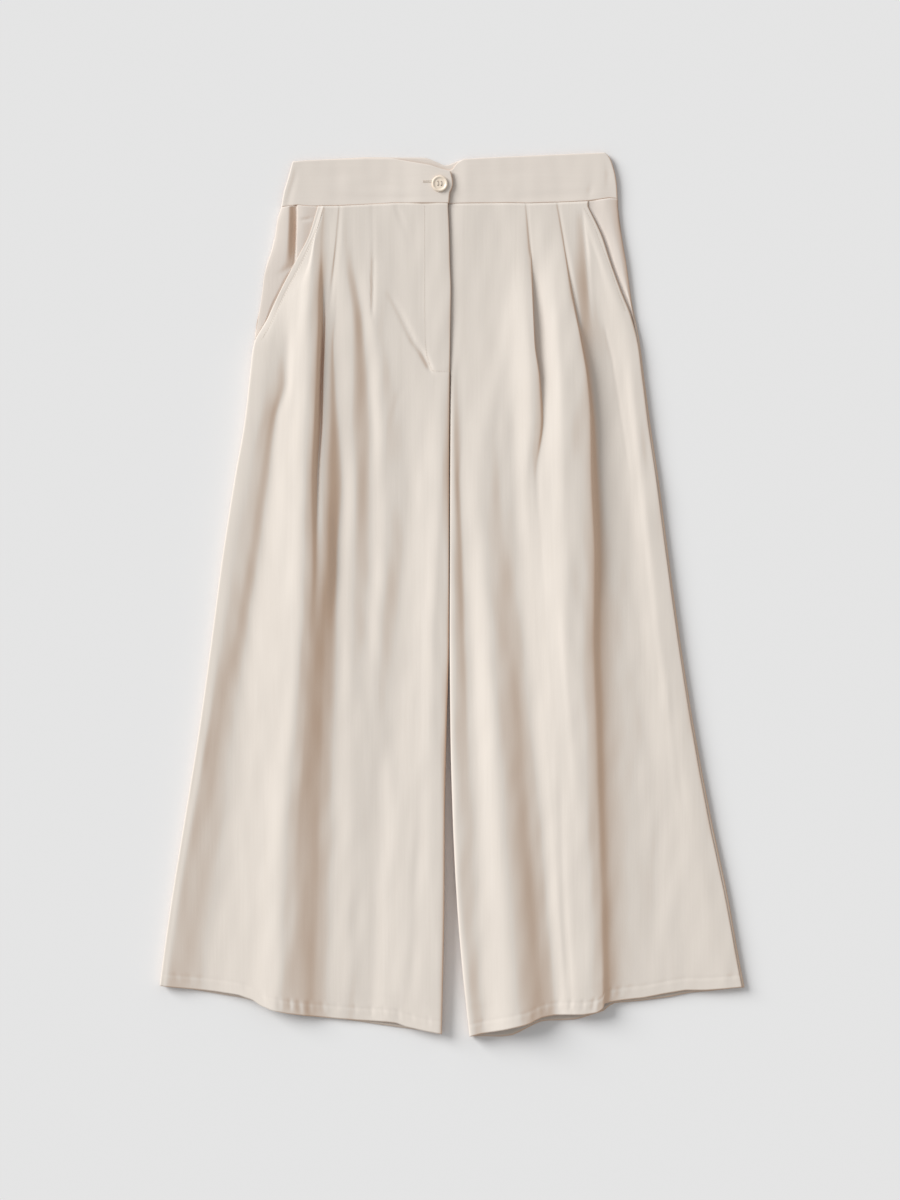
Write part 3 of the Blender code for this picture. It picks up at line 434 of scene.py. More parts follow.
LEFT_CREASES = (
    (((526, 204, 0.35), (527.6, 222, 0.5), (530, 251, 0.6), (531, 258, 0.2)), 0.9, 2.4),
    (((557, 203, 0.3), (560, 220, 0.4), (564.6, 247, 0.4), (570, 279, 0.9), (577, 317, 1.1),
      (579, 326, 0.4)), 0.9, 2.4),
    (((604, 322, 0), (605.7, 333, 0.35), (612, 360, 0.4), (616, 386, 0.35), (622, 424, 0.3),
      (627, 458, 0.2), (630, 480, 0)), 1.6, 2),
    (((582, 207, 0), (583, 222, 0.7), (586, 250, 1.2), (588.5, 290, 1.1), (590, 318, 0.5),
      (592, 336, 0)), 5.5, 2),
    # edge stitching of the pocket mouth
    (sunk(LEFT_MOUTH, (0.1, 0.1, 0.12, 0.12, 0.12, 0.1)), 1, 1),
    # soft dents down the leg
    (((500, 380, 0), (498, 430, 0.5), (500, 500, 0.4), (506, 560, 0)), 5, 7),
    (((516, 640, 0), (519, 700, 0.5), (525, 780, 0.6), (531, 860, 0.7), (537, 940, 0.7),
      (541, 1000, 0.5)), 6, 6),
    (((560, 720, 0), (561, 800, 0.5), (563, 880, 0.6), (566, 950, 0.6), (571, 1008, 0.4)), 4, 5),
    (((655, 780, 0), (657, 850, 0.6), (656, 905, 0.6), (652, 950, 0)), 6, 8),
    (((668, 640, 0), (672, 700, 0.4), (680, 780, 0.5), (690, 840, 0)), 4, 5),
    (((536, 440, 0), (537, 470, 0.5), (538, 500, 0.4), (540, 530, 0)), 3, 4),
    (((461, 440, 0), (459, 480, 0.5), (462, 560, 0.5), (464, 640, 0.4), (467, 720, 0.3),
      (471, 800, 0)), 2.2, 3),
    (((640, 400, 0), (646, 450, 0.3), (652, 500, 0)), 3, 3),
)
# Small puckers that the hem stitching pulls: x at the stitching, lean, length, depth
RIGHT_PUCKERS = (
    (176, 2, 12, 0.35), (191, 1, 14, 0.45), (203, 2, 11, 0.3), (221, 0, 13, 0.4), (233, 2, 10, 0.3),
    (247, 1, 15, 0.5), (262, 3, 14, 0.45), (279, 1, 17, 0.6), (290, 1, 15, 0.7), (299, 2, 18, 0.8),
    (309, 1, 16, 0.7), (322, 2, 13, 0.5), (337, 0, 11, 0.35), (355, 1, 12, 0.3), (371, 1, 14, 0.45),
    (383, 2, 13, 0.4), (398, 1, 15, 0.5), (411, 2, 12, 0.45), (428, 1, 12, 0.35),
)
LEFT_PUCKERS = (
    (484, -1, 12, 0.35), (499, -2, 12, 0.35), (515, -1, 14, 0.45), (527, -2, 16, 0.6),
    (536, -1, 18, 0.8), (545, -2, 16, 0.7), (558, -1, 12, 0.4), (571, -2, 13, 0.45),
    (583, -1, 14, 0.5), (594, -2, 16, 0.7), (611, -1, 15, 0.7), (621, -2, 14, 0.6),
    (634, -2, 12, 0.4), (650, -1, 11, 0.3), (667, -2, 12, 0.35), (686, -1, 13, 0.4),
    (703, -2, 11, 0.3), (720, -1, 12, 0.35), (733, -2, 11, 0.3),
)


def crease_relief(x, y, creases):
    """Change of height, in millimetres, that the fine creases make at grid places."""
    relief = np.zeros_like(x)
    for line, soft_left, soft_right in creases:
        points = np.array(line, float)
        nearest = np.full(x.shape, np.inf)
        change = np.zeros_like(x)
        for (ax, ay, a_depth), (bx, by, b_depth) in zip(points[:-1], points[1:]):
            dx, dy = bx - ax, by - ay
            length = math.hypot(dx, dy)
            share = np.clip(((x - ax) * dx + (y - ay) * dy) / length**2, 0, 1)
            off_x, off_y = x - (ax + share * dx), y - (ay + share * dy)
            distance = np.hypot(off_x, off_y)
            right_side = (off_x * dy - off_y * dx) > 0
            softness = np.where(right_side, soft_right, soft_left)
            depth = a_depth + (b_depth - a_depth) * share
            here = -depth * np.exp(-((distance / softness) ** 2))
            closer = distance < nearest
            nearest = np.where(closer, distance, nearest)
            change = np.where(closer, here, change)
        relief += change
    return relief


def hem_place(x, y, hem):
    """Distance over the hem's edge, and the share of the turned-up hem's thickness, at places."""
    above = straight(hem, x) - y
    return above, np.clip((HEM_DEPTH - above) / HEM_STEP, 0, 1)


def hem_wall(turned_up):
    """Thickness of a leg in metres; `turned_up` is the hem's share."""
    return (WALL + (HEM_WALL - WALL) * turned_up) * MM


def hem_relief(x, above, turned_up, puckers):
    """The hem's stitching groove, its raised turn-up and the puckers across it."""
    groove_depth, groove_softness = HEM_GROOVE
    groove = -groove_depth * np.exp(-(((above - HEM_DEPTH) / groove_softness) ** 2))
    change = groove + HEM_RAISE * turned_up
    for at, lean, length, depth in puckers:
        along = (HEM_DEPTH + PUCKER_FOOT - above) / length
        middle = at + lean * along
        rise = np.clip(1 - abs(2 * along - 1) ** 2, 0, 1)
        for share, shift, softness in PUCKER_PARTS:
            change -= share * depth * rise * np.exp(-(((x - middle - shift) / softness) ** 2))
    return change


# Slow unevenness of the cloth: wavelength across and along the leg, turn, share
WAVES = (
    (61, 150, 0.4, 1.0), (37, 211, 1.9, 0.8), (23, 97, 3.1, 0.5), (83, 71, 5.0, 0.7),
    (17, 133, 2.2, 0.35), (29, 57, 4.4, 0.3),
)
WAVE_BEND, WAVE_RUN = 9, 90  # the waves swing this far from side to side, over this length


def wander(x, y, depth):
    """A slow uneven rise and fall of the cloth, in millimetres."""
    total = np.zeros_like(x)
    for across, along, turn, share in WAVES:
        bend = WAVE_BEND * np.sin(y / WAVE_RUN + turn)
        total += share * np.sin(math.tau * (x + bend) / across + turn) * np.cos(
            math.tau * y / along + 2 * turn
        )
    return depth * total


def front_panel(name, folds, waist, hem, creases, puckers, material):
    x, y, height = fold_surface(folds, LEVELS, spread_rows(FRONT_ROWS), waist, hem)
    height = calm(calm(height, CALM_DOWN, 0), CALM_ACROSS, 1)
    above, turned_up = hem_place(x, y, hem)
    height = height + crease_relief(x, y, creases) + hem_relief(x, above, turned_up, puckers)
    height = height + wander(x, y, PANEL_WANDER)
    return shell(name, in_metres(x, y, height), hem_wall(turned_up), 1, material)


# The backs lie flat and curl up at their edges to meet the fronts. At each level: where the
# outline runs, how far in from it the edge itself is tucked behind the front, and how high the
# edge stands.
BACK_LEVELS = (207, 236, 265, 300, 325, 345, 380, 420, 480, 560, 640, 730, 820, 900, 960, 1034)
INNER_HEIGHT = (0.7,) * 5 + (0.8, 2.4, 4.2) + (4.4,) * 8
BACK_RIGHT = {
    "inner_outline": (450.9,) * 6 + (450.4, 449.8, 449.3, 449.2, 449, 446.6, 444.8, 444.3, 443.3,
        441.7),
    "inner_tuck": (0.2,) * 6 + (0.5,) + (0.6,) * 9,
    "inner_height": INNER_HEIGHT,
    "side_outline": (281.6, 275, 267.6, 262, 256.2, 254.2, 250.1, 245.6, 235.1, 222.6, 212.1,
        199.6, 185.1, 172.1, 163.6, 154.6),
    "side_tuck": (0.6,) * 5 + (1,) * 11,
    "side_height": (1.1, 1.1, 1.1, 1.1, 1.6, 3.6, 4.4) + (4.6,) * 9,
}
BACK_LEFT = {
    "inner_outline": (451.2,) * 6 + (450.9, 450.3, 450, 449.9, 449.7, 450.5, 453, 457, 461.7,
        469.5),
    "inner_tuck": (0.2,) * 6 + (0.4,) + (0.7,) * 9,
    "inner_height": INNER_HEIGHT,
    "side_outline": (618, 621.9, 626.6, 631.6, 636.6, 640.2, 644.6, 650, 658.8, 669.2, 680.2,
        694.6, 711.8, 728.8, 739.4, 754.4),
    "side_tuck": (0.6, 0.6, 1, 1.8, 3, 3.6, 3.8, 4.4, 4.2, 4.2, 4, 4, 4.6, 4.6, 4.2, 4.8),
    "side_height": (1.1, 1.1, 1.1, 1.4, 3, 4.4, 4.7, 4.9, 5.1, 5.3, 5.5, 5.4, 5.3, 5.3, 5.3, 4.7),
}
BACK_MIDDLE = (367, 364, 361, 358, 357, 356, 352, 349, 343, 336, 331, 323, 315, 308, 303, 298)
BACK_RIGHT_HEM = ((155, 983), (245, 998), (270, 1006), (330, 1017), (441, 1033))
BACK_LEFT_HEM = (
    (469, 1036), (488, 1036), (500, 1036.4), (512, 1035), (519, 1032), (538, 1022), (545, 1020.4),
    (560, 1020), (577, 1019), (603, 1011), (612, 1003), (640, 1000.6), (668, 997), (690, 992.4),
    (712, 990.6), (748, 986.4),
)
# columns to the next line, share of the way from outline to edge, distance in, share of height
CURL = (
    (5, 0, 9, 0), (5, 0, 3.6, 0.06), (5, 0, 0.5, 0.42), (4, 0.1, 0, 0.76),
    (4, 0.5, 0, 0.99), (0, 1, 0, 1),
)
BACK_CREASES_RIGHT = (
    (((300, 420, 0), (288, 560, 0.9), (276, 700, 0.8), (262, 860, 0.5), (256, 960, 0.2)), 7, 9),
    (((362, 260, 0), (358, 380, 0.8), (350, 520, 1), (341, 690, 0.7), (334, 900, 0.5)), 6, 10),
    (((436, 390, 1.2), (416, 408, 0.9), (392, 438, 0.4), (372, 470, 0)), 4, 6),
    (((440, 372, 1), (424, 382, 0.8), (398, 398, 0.3), (380, 410, 0)), 3, 5),
    (((402, 520, 0), (398, 640, 0.8), (394, 780, 0.9), (391, 940, 0.4)), 8, 8),
)
BACK_CREASES_LEFT = (
    (((545, 300, 0), (556, 420, 0.9), (568, 560, 0.9), (582, 720, 0.7), (598, 900, 0.4)), 9, 6),
    (((466, 392, 1.1), (488, 412, 0.9), (512, 446, 0.4), (530, 474, 0)), 5, 4),
    (((461, 374, 0.9), (480, 386, 0.7), (503, 404, 0.3), (520, 418, 0)), 4, 3),
    (((500, 540, 0), (508, 660, 0.8), (516, 800, 0.8), (526, 960, 0.4)), 8, 8),
    (((640, 480, 0), (652, 620, 0.7), (668, 760, 0.7), (690, 920, 0.3)), 7, 9),
)

# Pocket facings, from the edge tucked under the front out to the side seam
FACING_LEVELS = (207, 221, 236, 250, 262, 276, 290, 308, 340)
FACING_RIGHT = (
    ("tucked", 8,
     (323, 318, 314, 307, 301, 293, 286, 277, 264),
     (3.9, 3.9, 3.8, 3.8, 3.8, 3.7, 3.7, 3.6, 3.4)),
    ("flat", 6,
     (304, 303, 302, 301, 299, 291, 284, 275, 262.6),
     (5, 5, 4.7, 4.2, 3.8, 3.7, 3.7, 3.6, 3.4)),
    ("foot", 4,
     (297.6, 297.4, 297, 296.9, 296.8, 289, 281.6, 272, 261.4),
     (4.5, 4.5, 4.4, 4, 3.6, 3.6, 3.7, 3.6, 3.4)),
    ("valley", 6,
     (296.6, 296.4, 296, 295.6, 294.8, 285.4, 278, 269.6, 260),
     (3.6, 2.8, 2.4, 2.4, 3.1, 4.2, 4.2, 4, 3.6)),
    ("slope", 6,
     (293.4, 293.2, 292.8, 292.4, 291.8, 281, 274, 266.4, 258.4),
     (4.6, 4.2, 4, 3.9, 4, 4.3, 4.2, 4, 3.6)),
    ("crest", 5,
     (288.6, 288.2, 287.6, 286.6, 284.6, 274, 268, 262.6, 257),
     (6.3, 6.4, 6.3, 5.9, 5.2, 4.3, 4.1, 3.9, 3.4)),
    ("turn", 4,
     (281.6, 277.4, 275.2, 271.8, 267.8, 264.2, 262.6, 260, 254.8),
     (5, 5.2, 5, 4.6, 4.1, 3.7, 3.5, 3.4, 3)),
    ("seam", 0,
     (281.8, 277.8, 275.6, 272.2, 268.2, 264.6, 263, 260.4, 255.2),
     (1.3,) * 8 + (1.4,)),
)
FACING_LEFT = (
    ("tucked", 8,
     (583, 590, 597, 603, 607, 613, 617, 624, 633),
     (3.9, 3.9, 3.8, 3.8, 3.8, 3.7, 3.7, 3.6, 3.3)),
    ("flat", 8,
     (590, 596.5, 603.5, 608.3, 612, 617, 622.4, 629.4, 635),
     (4.2, 3.2) + (2.8,) * 7),
    ("rise", 6,
     (594, 599.6, 606.6, 611.4, 614.8, 619.4, 624.6, 630.6, 635.8),
     (4.2, 4.2, 4.2, 4.3, 4.3, 4.1, 3.8, 3.4, 2.9)),
    ("crest", 6,
     (606, 610, 614, 618, 620.6, 623.6, 626.8, 631.2, 636.6),
     (5.2, 5.2, 5.2, 5.2, 5.1, 4.9, 4.6, 4.1, 3)),
    ("turn", 5,
     (617.4, 618.8, 621.2, 623.6, 625.8, 627.8, 629.6, 632, 637.4),
     (3.8,) * 5 + (3.7, 3.6, 3.4, 2.8)),
    ("seam", 0,
     (617.2, 618.6, 621, 623.4, 625.6, 627.6, 629.4, 631.8, 637.2),
     (1.3,) * 8 + (1.4,)),
)
FACING_CREASES = (
    (((299, 219.4, 0), (303, 220, 0.6), (308, 219.6, 0.6), (313, 218.4, 0)), 1.6, 1.2),
)

# Waistbands: ends as share of the band's height and x; edges as x and y; face as x and height
BAND_RIGHT = {
    "start": ((0, 281.2), (0.34, 284), (0.7, 289), (0.9, 291.4), (1, 292.8)),
    "end": ((0, 448.9), (0.12, 449.3), (0.33, 449.8), (0.46, 452), (0.6, 453), (0.8, 452.3),
            (0.94, 451.2), (1, 450.2)),
    "bottom": tuple((x, y + 0.2) for x, y in RIGHT_WAIST),
    "top": ((281, 163), (292.4, 162.4), (304, 160.8), (341, 159.4), (364, 158.8), (393, 158.9),
            (412, 162.4), (430, 165.5), (444.6, 170.2), (453, 172.4)),
    "face": ((281, 4.6), (292, 5.2), (310, 5), (335, 4.8), (389, 5), (403, 5.6), (421, 7),
             (453, 7.2)),
}
BAND_LEFT = {
    "start": ((0, 425.6), (1, 425.6)),
    "end": ((0, 617.4), (0.3, 616.8), (0.55, 615), (0.8, 611.6), (0.93, 608.6), (1, 604.4)),
    "bottom": ((425, 204.2), (506, 203.4), (530, 203.9), (558, 203), (586, 201.8), (610, 198.4),
               (618, 199.2)),
    "top": ((425, 171.4), (444, 171.4), (452.6, 170.2), (456, 164), (463, 159.3), (500, 157.4),
            (548, 155.2), (604, 153)),
    "face": ((425, 3.6), (456, 3.6), (466, 4.4), (560, 4.7), (600, 5), (618, 4.4)),
}
BAND_BACK = {
    "start": ((0, 281.6), (0.34, 284.4), (0.7, 289.4), (1, 292.8)),
    "end": ((0, 617), (0.3, 616.4), (0.55, 614.6), (0.8, 611.2), (1, 604)),
    "bottom": ((281, 208), (341, 206.4), (395, 203.6), (506, 203.4), (558, 203), (618, 199)),
    "top": ((281, 162.4), (304, 160.6), (341, 158.6), (364, 157.4), (426, 157.8), (433, 160.6),
            (446, 166.4), (454, 163), (463, 159.4), (500, 157.6), (548, 155.4), (604, 153.2)),
    "face": ((281, 2), (618, 2)),
}
BAND_THICKNESS = 1.8
BAND_ROUND = 1.1  # of its edges, millimetres
BAND_SIZE = (48, 180)  # height and length that its rows are spread by, millimetres
BAND_ROWS, BAND_COLUMNS = 26, 150
BAND_EDGE_STEPS = (0.0, 0.08, 0.3, 0.7, 1.3, 2.1)  # millimetres in from the edge
BAND_CREASES_RIGHT = (
    (((297, 166, 0), (295, 178, 0.35), (291, 192, 0.4), (288, 204, 0.3)), 2.6, 3.4),
    (((318, 198, 0), (360, 199.6, 0.25), (410, 198.4, 0.25), (440, 197, 0)), 4, 4),
    (((306, 172, 0), (340, 175, 0.22), (384, 172, 0)), 6, 6),
    (((350, 188, 0), (380, 184, 0.22), (412, 186, 0)), 6, 6),
)
BAND_CREASES_LEFT = (
    (((470, 196, 0), (520, 198, 0.25), (575, 195, 0.25), (600, 192, 0)), 4, 4),
    (((606, 160, 0), (608, 176, 0.3), (607, 192, 0)), 2.6, 3.4),
    (((476, 170, 0), (512, 174, 0.22), (560, 168, 0)), 6, 6),
    (((588, 202, 0), (590, 192, 0.3), (592, 180, 0)), 3, 3),
    (((498, 182, 0), (506, 190, 0.2), (512, 200, 0)), 4, 4),
)


def back_panel(name, table, mirror, hem, creases, material):
    """A back: its face is the side that lies on the floor, and its edges curl up."""
    curls = []
    for side, inward in (("inner", -mirror), ("side", mirror)):
        outline, tuck, lift = (
            np.array(table[f"{side}_{part}"], float) for part in ("outline", "tuck", "height")
        )
        curls.append([
            (side, columns, outline + inward * (tuck * share + reach), lift * rise)
            for columns, share, reach, rise in CURL
        ])
    inner, outer = curls
    counts = [columns for columns, *_ in CURL[:-1]][::-1] + [BACK_COLUMNS]
    inner = [(line[0], count) + line[2:] for line, count in zip(inner[::-1], counts)]
    middle_x = CENTRE_X + mirror * (np.array(BACK_MIDDLE, float) - CENTRE_X)
    middle = ("middle", BACK_COLUMNS, middle_x, np.zeros(len(BACK_LEVELS)))
    waist = RIGHT_WAIST if mirror > 0 else LEFT_WAIST
    x, y, height = fold_surface(
        inner + [middle] + outer, BACK_LEVELS, spread_rows(BACK_ROWS), waist, hem
    )
    inside = np.clip(1 - height / DENT_TOP, 0, 1)
    dents = np.clip(-crease_relief(x, y, creases), 0, None)
    _, turned_up = hem_place(x, y, hem)
    return shell(
        name, in_metres(x, y, height + inside * dents), hem_wall(turned_up), -1, material
    )


def facing_panel(name, folds, waist, creases, material):
    rows = np.linspace(FACING_LEVELS[0], FACING_LEVELS[-1], FACING_ROWS)
    x, y, height = fold_surface(folds, FACING_LEVELS, rows, waist)
    height = calm(height, FACING_CALM, 0) + crease_relief(x, y, creases)
    return shell(name, in_metres(x, y, height), WALL * MM, 1, material)


def edge_spacing(length, middle_count):
    """Places from 0 to 1 along a length in millimetres, close together near both ends."""
    edge = np.array(BAND_EDGE_STEPS)
    middle = np.linspace(edge[-1], length - edge[-1], middle_count)
    return np.concatenate([edge[:-1], middle, (length - edge[:-1])[::-1]]) / length


def waistband(name, band, creases, material):
    """A waistband folded along its top: a closed flat piece with rounded edges."""
    height, length = BAND_SIZE
    up, along = edge_spacing(height, BAND_ROWS), edge_spacing(length, BAND_COLUMNS)
    start, end = straight(band["start"], up), straight(band["end"], up)
    x = start[:, None] + (end - start)[:, None] * along
    bottom, top = straight(band["bottom"], x), straight(band["top"], x)
    y = bottom + (top - bottom) * up[:, None]
    x, y = calm(calm(x, 3, 1), 2, 0), calm(y, 3, 1)
    from_edge = np.minimum(
        np.minimum(up, 1 - up)[:, None] * height, np.minimum(along, 1 - along) * length
    )
    fullness = np.sqrt(np.clip(1 - (1 - np.clip(from_edge / BAND_ROUND, 0, 1)) ** 2, 0, 1))
    middle = calm(straight(band["face"], x), 8, 1) - BAND_THICKNESS / 2
    relief = crease_relief(x, y, creases) + wander(x, y, BAND_WANDER)
    upper = middle + (BAND_THICKNESS / 2 + relief) * fullness
    lower = middle - BAND_THICKNESS / 2 * fullness
    index = np.arange(x.size).reshape(x.shape)
    under = index + x.size
    under[0, :], under[-1, :] = index[0, :], index[-1, :]
    under[:, 0], under[:, -1] = index[:, 0], index[:, -1]
    verts = np.concatenate([in_metres(x, y, face).reshape(-1, 3) for face in (upper, lower)])
    faces = np.concatenate([grid_faces(index), grid_faces(under)[:, ::-1]])
    used = np.unique(faces)
    order = np.zeros(2 * x.size, int)
    order[used] = np.arange(len(used))
    return mesh_object(name, verts[used].tolist(), order[faces].tolist(), material)


# Rows of stitches
RIGHT_STITCHES = (
    ((424.5, 206), (424.6, 240), (424.6, 300), (425, 340), (426.4, 355), (429, 365), (432, 371),
     (440, 371.6), (449, 371.8)),
    RIGHT_MOUTH,
)
LEFT_STITCHES = (LEFT_MOUTH,)
STITCH_SPACING = 2.6  # grid units
STITCH_LIFT = 0.04  # over the cloth, millimetres
FEEL = 2.4 * MM  # a height is felt this far round a place
# Threads: radius and length in millimetres
STITCH, BUTTON_THREAD = (0.13, 1.9), (0.34, 4.6)
SHANK_THREAD, HOLE_THREAD = (0.4, 3.6), (0.22, 1.2)
THREAD_SIDES = 6
# Share of a thread's length, share of its radius
THREAD_PROFILE = ((-0.5, 0.0), (-0.42, 0.7), (-0.2, 1.0), (0.2, 1.0), (0.42, 0.7), (0.5, 0.0))
# The button's middle; and, in millimetres from it and over its underside, the turns of thread in
# its holes and the threads of the shank
BUTTON_X, BUTTON_Y = 439.77, 184.36
TURN_OFFSETS, TURN_HEIGHT = ((-2.05, 0), (-1.45, 0), (1.45, 0), (2.05, 0)), 2.1
SHANK_OFFSETS, SHANK_HEIGHT = ((-1.7, -1.7), (1.7, -1.7), (-1.7, 1.7), (1.7, 1.7)), -0.1
# The buttonhole's ends, its stitches' spacing in grid units, their distance from its middle and
# their depth in the tab in millimetres, and where the tab's height is felt
HOLE_START, HOLE_END, HOLE_Y = 423.2, 440.4, 182.3
HOLE_SPACING, HOLE_OFFSET, HOLE_SINK = 0.42, 0.75, 0.02
TAB_PLACES = ((428,), (187,))


def beads(name, places, size, material):
    """Small threads; places are (point in metres, direction)."""
    radius, length = (part * MM for part in size)
    verts, faces = [], []
    for point, direction in places:
        direction = np.array(direction) / np.linalg.norm(direction)
        across = np.cross(direction, (0, 0, 1.0))
        across /= np.linalg.norm(across)
        over = np.cross(across, direction)
        base = len(verts)
        verts.append(point + direction * THREAD_PROFILE[0][0] * length)
        for at, share in THREAD_PROFILE[1:-1]:
            for k in range(THREAD_SIDES):
                turn = math.tau * k / THREAD_SIDES
                ring = across * math.cos(turn) + over * math.sin(turn)
                verts.append(point + direction * at * length + ring * share * radius)
        verts.append(point + direction * THREAD_PROFILE[-1][0] * length)
        last = len(verts) - 1
        for k in range(THREAD_SIDES):
            after = (k + 1) % THREAD_SIDES
            faces.append((base, base + 1 + after, base + 1 + k))
            for low in range(base + 1, last - THREAD_SIDES, THREAD_SIDES):
                high = low + THREAD_SIDES
                faces.append((low + k, low + after, high + after, high + k))
            faces.append((last - THREAD_SIDES + k, last - THREAD_SIDES + after, last))
    return mesh_object(name, [tuple(v) for v in verts], faces, material)


def near(x, y, height, offset):
    """A point in metres, this many millimetres to the side of a grid place."""
    return in_metres(x, y, height) + np.array([*offset, 0]) * MM


def along_line(line, spacing):
    """x and y of evenly spaced places on a line of points."""
    x, y = np.array(line, float).T
    run = np.concatenate([[0], np.cumsum(np.hypot(np.diff(x), np.diff(y)))])
    at = np.arange(spacing / 2, run[-1], spacing)
    return np.interp(at, run, x), np.interp(at, run, y)


def heights_at(piece, x, y):
    """Heights in millimetres of a piece's upper face at grid places."""
    corners = np.array([vertex.co for vertex in piece.data.vertices])
    found = []
    for px, py, _ in in_metres(x, y, np.zeros(len(x))):
        felt = np.hypot(corners[:, 0] - px, corners[:, 1] - py) < FEEL
        found.append(corners[felt, 2].max() if felt.any() else 0.0)
    return np.array(found) / MM


def stitch_rows(name, piece, lines, material):
    places = []
    for line in lines:
        x, y = along_line(line, STITCH_SPACING)
        heights = np.pad(heights_at(piece, x, y), 2, mode="edge")
        heights = np.convolve(heights, np.ones(5) / 5, mode="valid")
        points = in_metres(x, y, heights + STITCH_LIFT)
        places += list(zip(points, np.gradient(points, axis=0)))
    return beads(name, places, STITCH, material)


# --- materials ---

# Painted shade: the crepe is painted warmer and darker where its slopes fall to this side, away
# from the sun, and warmer and darker still in deep folds, where ambient occlusion finds them. For
# each: what range of facing or of openness it grows over, and its share of the dark red, green and
# blue.
PAINTED_SHADE_SIDE = (0.87, -0.5, 0.0)
PAINTED_SHADE_RANGE, PAINTED_SHADE_TINT = (0.04, 0.42), (1.03, 0.83, 0.69)
FOLD_SHADE_RANGE, FOLD_SHADE_TINT = (0.12, 0.68), (0.88, 0.65, 0.52)
FOLD_SHADE_REACH = 0.025  # how far round a place a fold is felt for its painted shade, metres
FOLD_SHADE_SAMPLES = 6
TONE_RANGE = (0.35, 0.65)  # of the noise that runs from one tone to the other


class Finish:
    """A material, and the recipes of nodes that its surface is made of."""

    def __init__(self, name, settings):
        self.material = bpy.data.materials.new(name)
        self.material.use_nodes = True
        self.tree = self.material.node_tree
        for socket, value in settings.items():
            self.feed(socket, value)

    def feed(self, socket, value, node="Principled BSDF"):
        """Sets an input of a node to a value, or links it to another node's output."""
        target = self.tree.nodes[node].inputs[socket]
        if isinstance(value, bpy.types.NodeSocket):
            self.tree.links.new(value, target)
        else:
            target.default_value = value

    def node(self, kind, inputs=None, **settings):
        """The outputs of a new node with these inputs and settings."""
        node = self.tree.nodes.new("ShaderNode" + kind)
        for setting, value in settings.items():
            setattr(node, setting, value)
        for socket, value in (inputs or {}).items():
            self.feed(socket, value, node.name)
        return node.outputs

    def noise(self, scale, stretch=(1, 1, 1), detail=2.0, roughness=0.5):
        """Noise over the piece's own coordinates; `scale` is in waves for each metre."""
        place = self.node("TexCoord")["Object"]
        place = self.node("Mapping", {"Vector": place, "Scale": stretch})["Vector"]
        return self.node("TexNoise", {
            "Vector": place, "Scale": scale, "Detail": detail, "Roughness": roughness,
        })["Fac"]

    def blend(self, share, first, second):
        return self.node("Mix", {0: share, 6: first, 7: second}, data_type="RGBA")[2]

    def levels(self, value, low, high, to_high=1.0):
        """Stretches a value from low..high to 0..to_high."""
        return self.node("MapRange", {
            "Value": value, "From Min": low, "From Max": high, "To Max": to_high,
        })["Result"]

    def bump(self, *heights):
        """Chains bumps; each is (height, strength, distance in metres)."""
        below = {}
        for height, strength, distance in heights:
            below["Normal"] = self.node("Bump", {
                "Height": height, "Strength": strength, "Distance": distance, **below,
            })["Normal"]
        self.feed("Normal", below["Normal"])


def tinted(colour, tint):
    return tuple(part * share for part, share in zip(colour[:3], tint)) + (1,)


def crepe(name, light, dark, run=(1, 0.03, 1)):
    """Twisted-yarn crepe: a pebbly grain, fine streaks along its run and a soft sheen, with painted
    shade: warmer and darker on slopes that fall away from the sun and in deep folds.
    """
    cloth = Finish(name, {
        "Roughness": 0.82, "Specular IOR Level": 0.22,
        "Sheen Weight": 0.2, "Sheen Roughness": 0.5, "Sheen Tint": (1, 0.9, 0.8, 1),
    })
    streaks = cloth.noise(420, run, detail=3, roughness=0.6)
    broad = cloth.noise(60, tuple(math.sqrt(share) for share in run))
    grain = cloth.noise(1500, (1, 0.8, 1), roughness=0.65)
    shade = cloth.blend(cloth.levels(streaks, 0.2, 0.8), dark, light)
    tone = cloth.blend(cloth.levels(broad, *TONE_RANGE, to_high=0.35), shade, light)
    # Painted shade: slopes turned from the sun are painted warmer and darker in the base colour
    normal = cloth.node("NewGeometry")["Normal"]
    facing = cloth.node("VectorMath", {0: normal, 1: PAINTED_SHADE_SIDE}, operation="DOT_PRODUCT")
    painted_shade_share = cloth.levels(facing["Value"], *PAINTED_SHADE_RANGE)
    painted_slope_shade = cloth.blend(painted_shade_share, tone, tinted(dark, PAINTED_SHADE_TINT))
    # Painted shade: deep folds, found by ambient occlusion, are painted darker and warmer in the
    # base colour
    openness = cloth.node("AmbientOcclusion", {"Distance": FOLD_SHADE_REACH}, samples=FOLD_SHADE_SAMPLES)
    clear_of_fold_shade = cloth.levels(openness["AO"], *FOLD_SHADE_RANGE)
    cloth.feed("Base Color", cloth.blend(clear_of_fold_shade, tinted(dark, FOLD_SHADE_TINT), painted_slope_shade))
    cloth.bump((grain, 0.3, 0.0003), (streaks, 0.16, 0.0004))
    return cloth.material


def two_tone(name, settings, grain, dark, light, strength, distance):
    """A surface with one noise, which runs between two tones and stands up a little."""
    finish = Finish(name, settings)
    pattern = finish.noise(**grain)
    tone = finish.blend(finish.levels(pattern, *TONE_RANGE), dark, light)
    finish.feed("Base Color", tone)
    finish.bump((pattern, strength, distance))
    return finish.material


# --- the garment ---

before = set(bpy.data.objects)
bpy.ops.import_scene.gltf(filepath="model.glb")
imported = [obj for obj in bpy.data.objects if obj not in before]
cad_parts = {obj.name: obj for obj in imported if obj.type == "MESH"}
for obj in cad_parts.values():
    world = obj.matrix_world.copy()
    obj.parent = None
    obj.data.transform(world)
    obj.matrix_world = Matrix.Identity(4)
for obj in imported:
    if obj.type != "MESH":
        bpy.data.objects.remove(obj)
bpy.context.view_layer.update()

crepe_face = crepe("crepe_cloth", (0.71, 0.65, 0.588, 1), (0.68, 0.618, 0.555, 1))
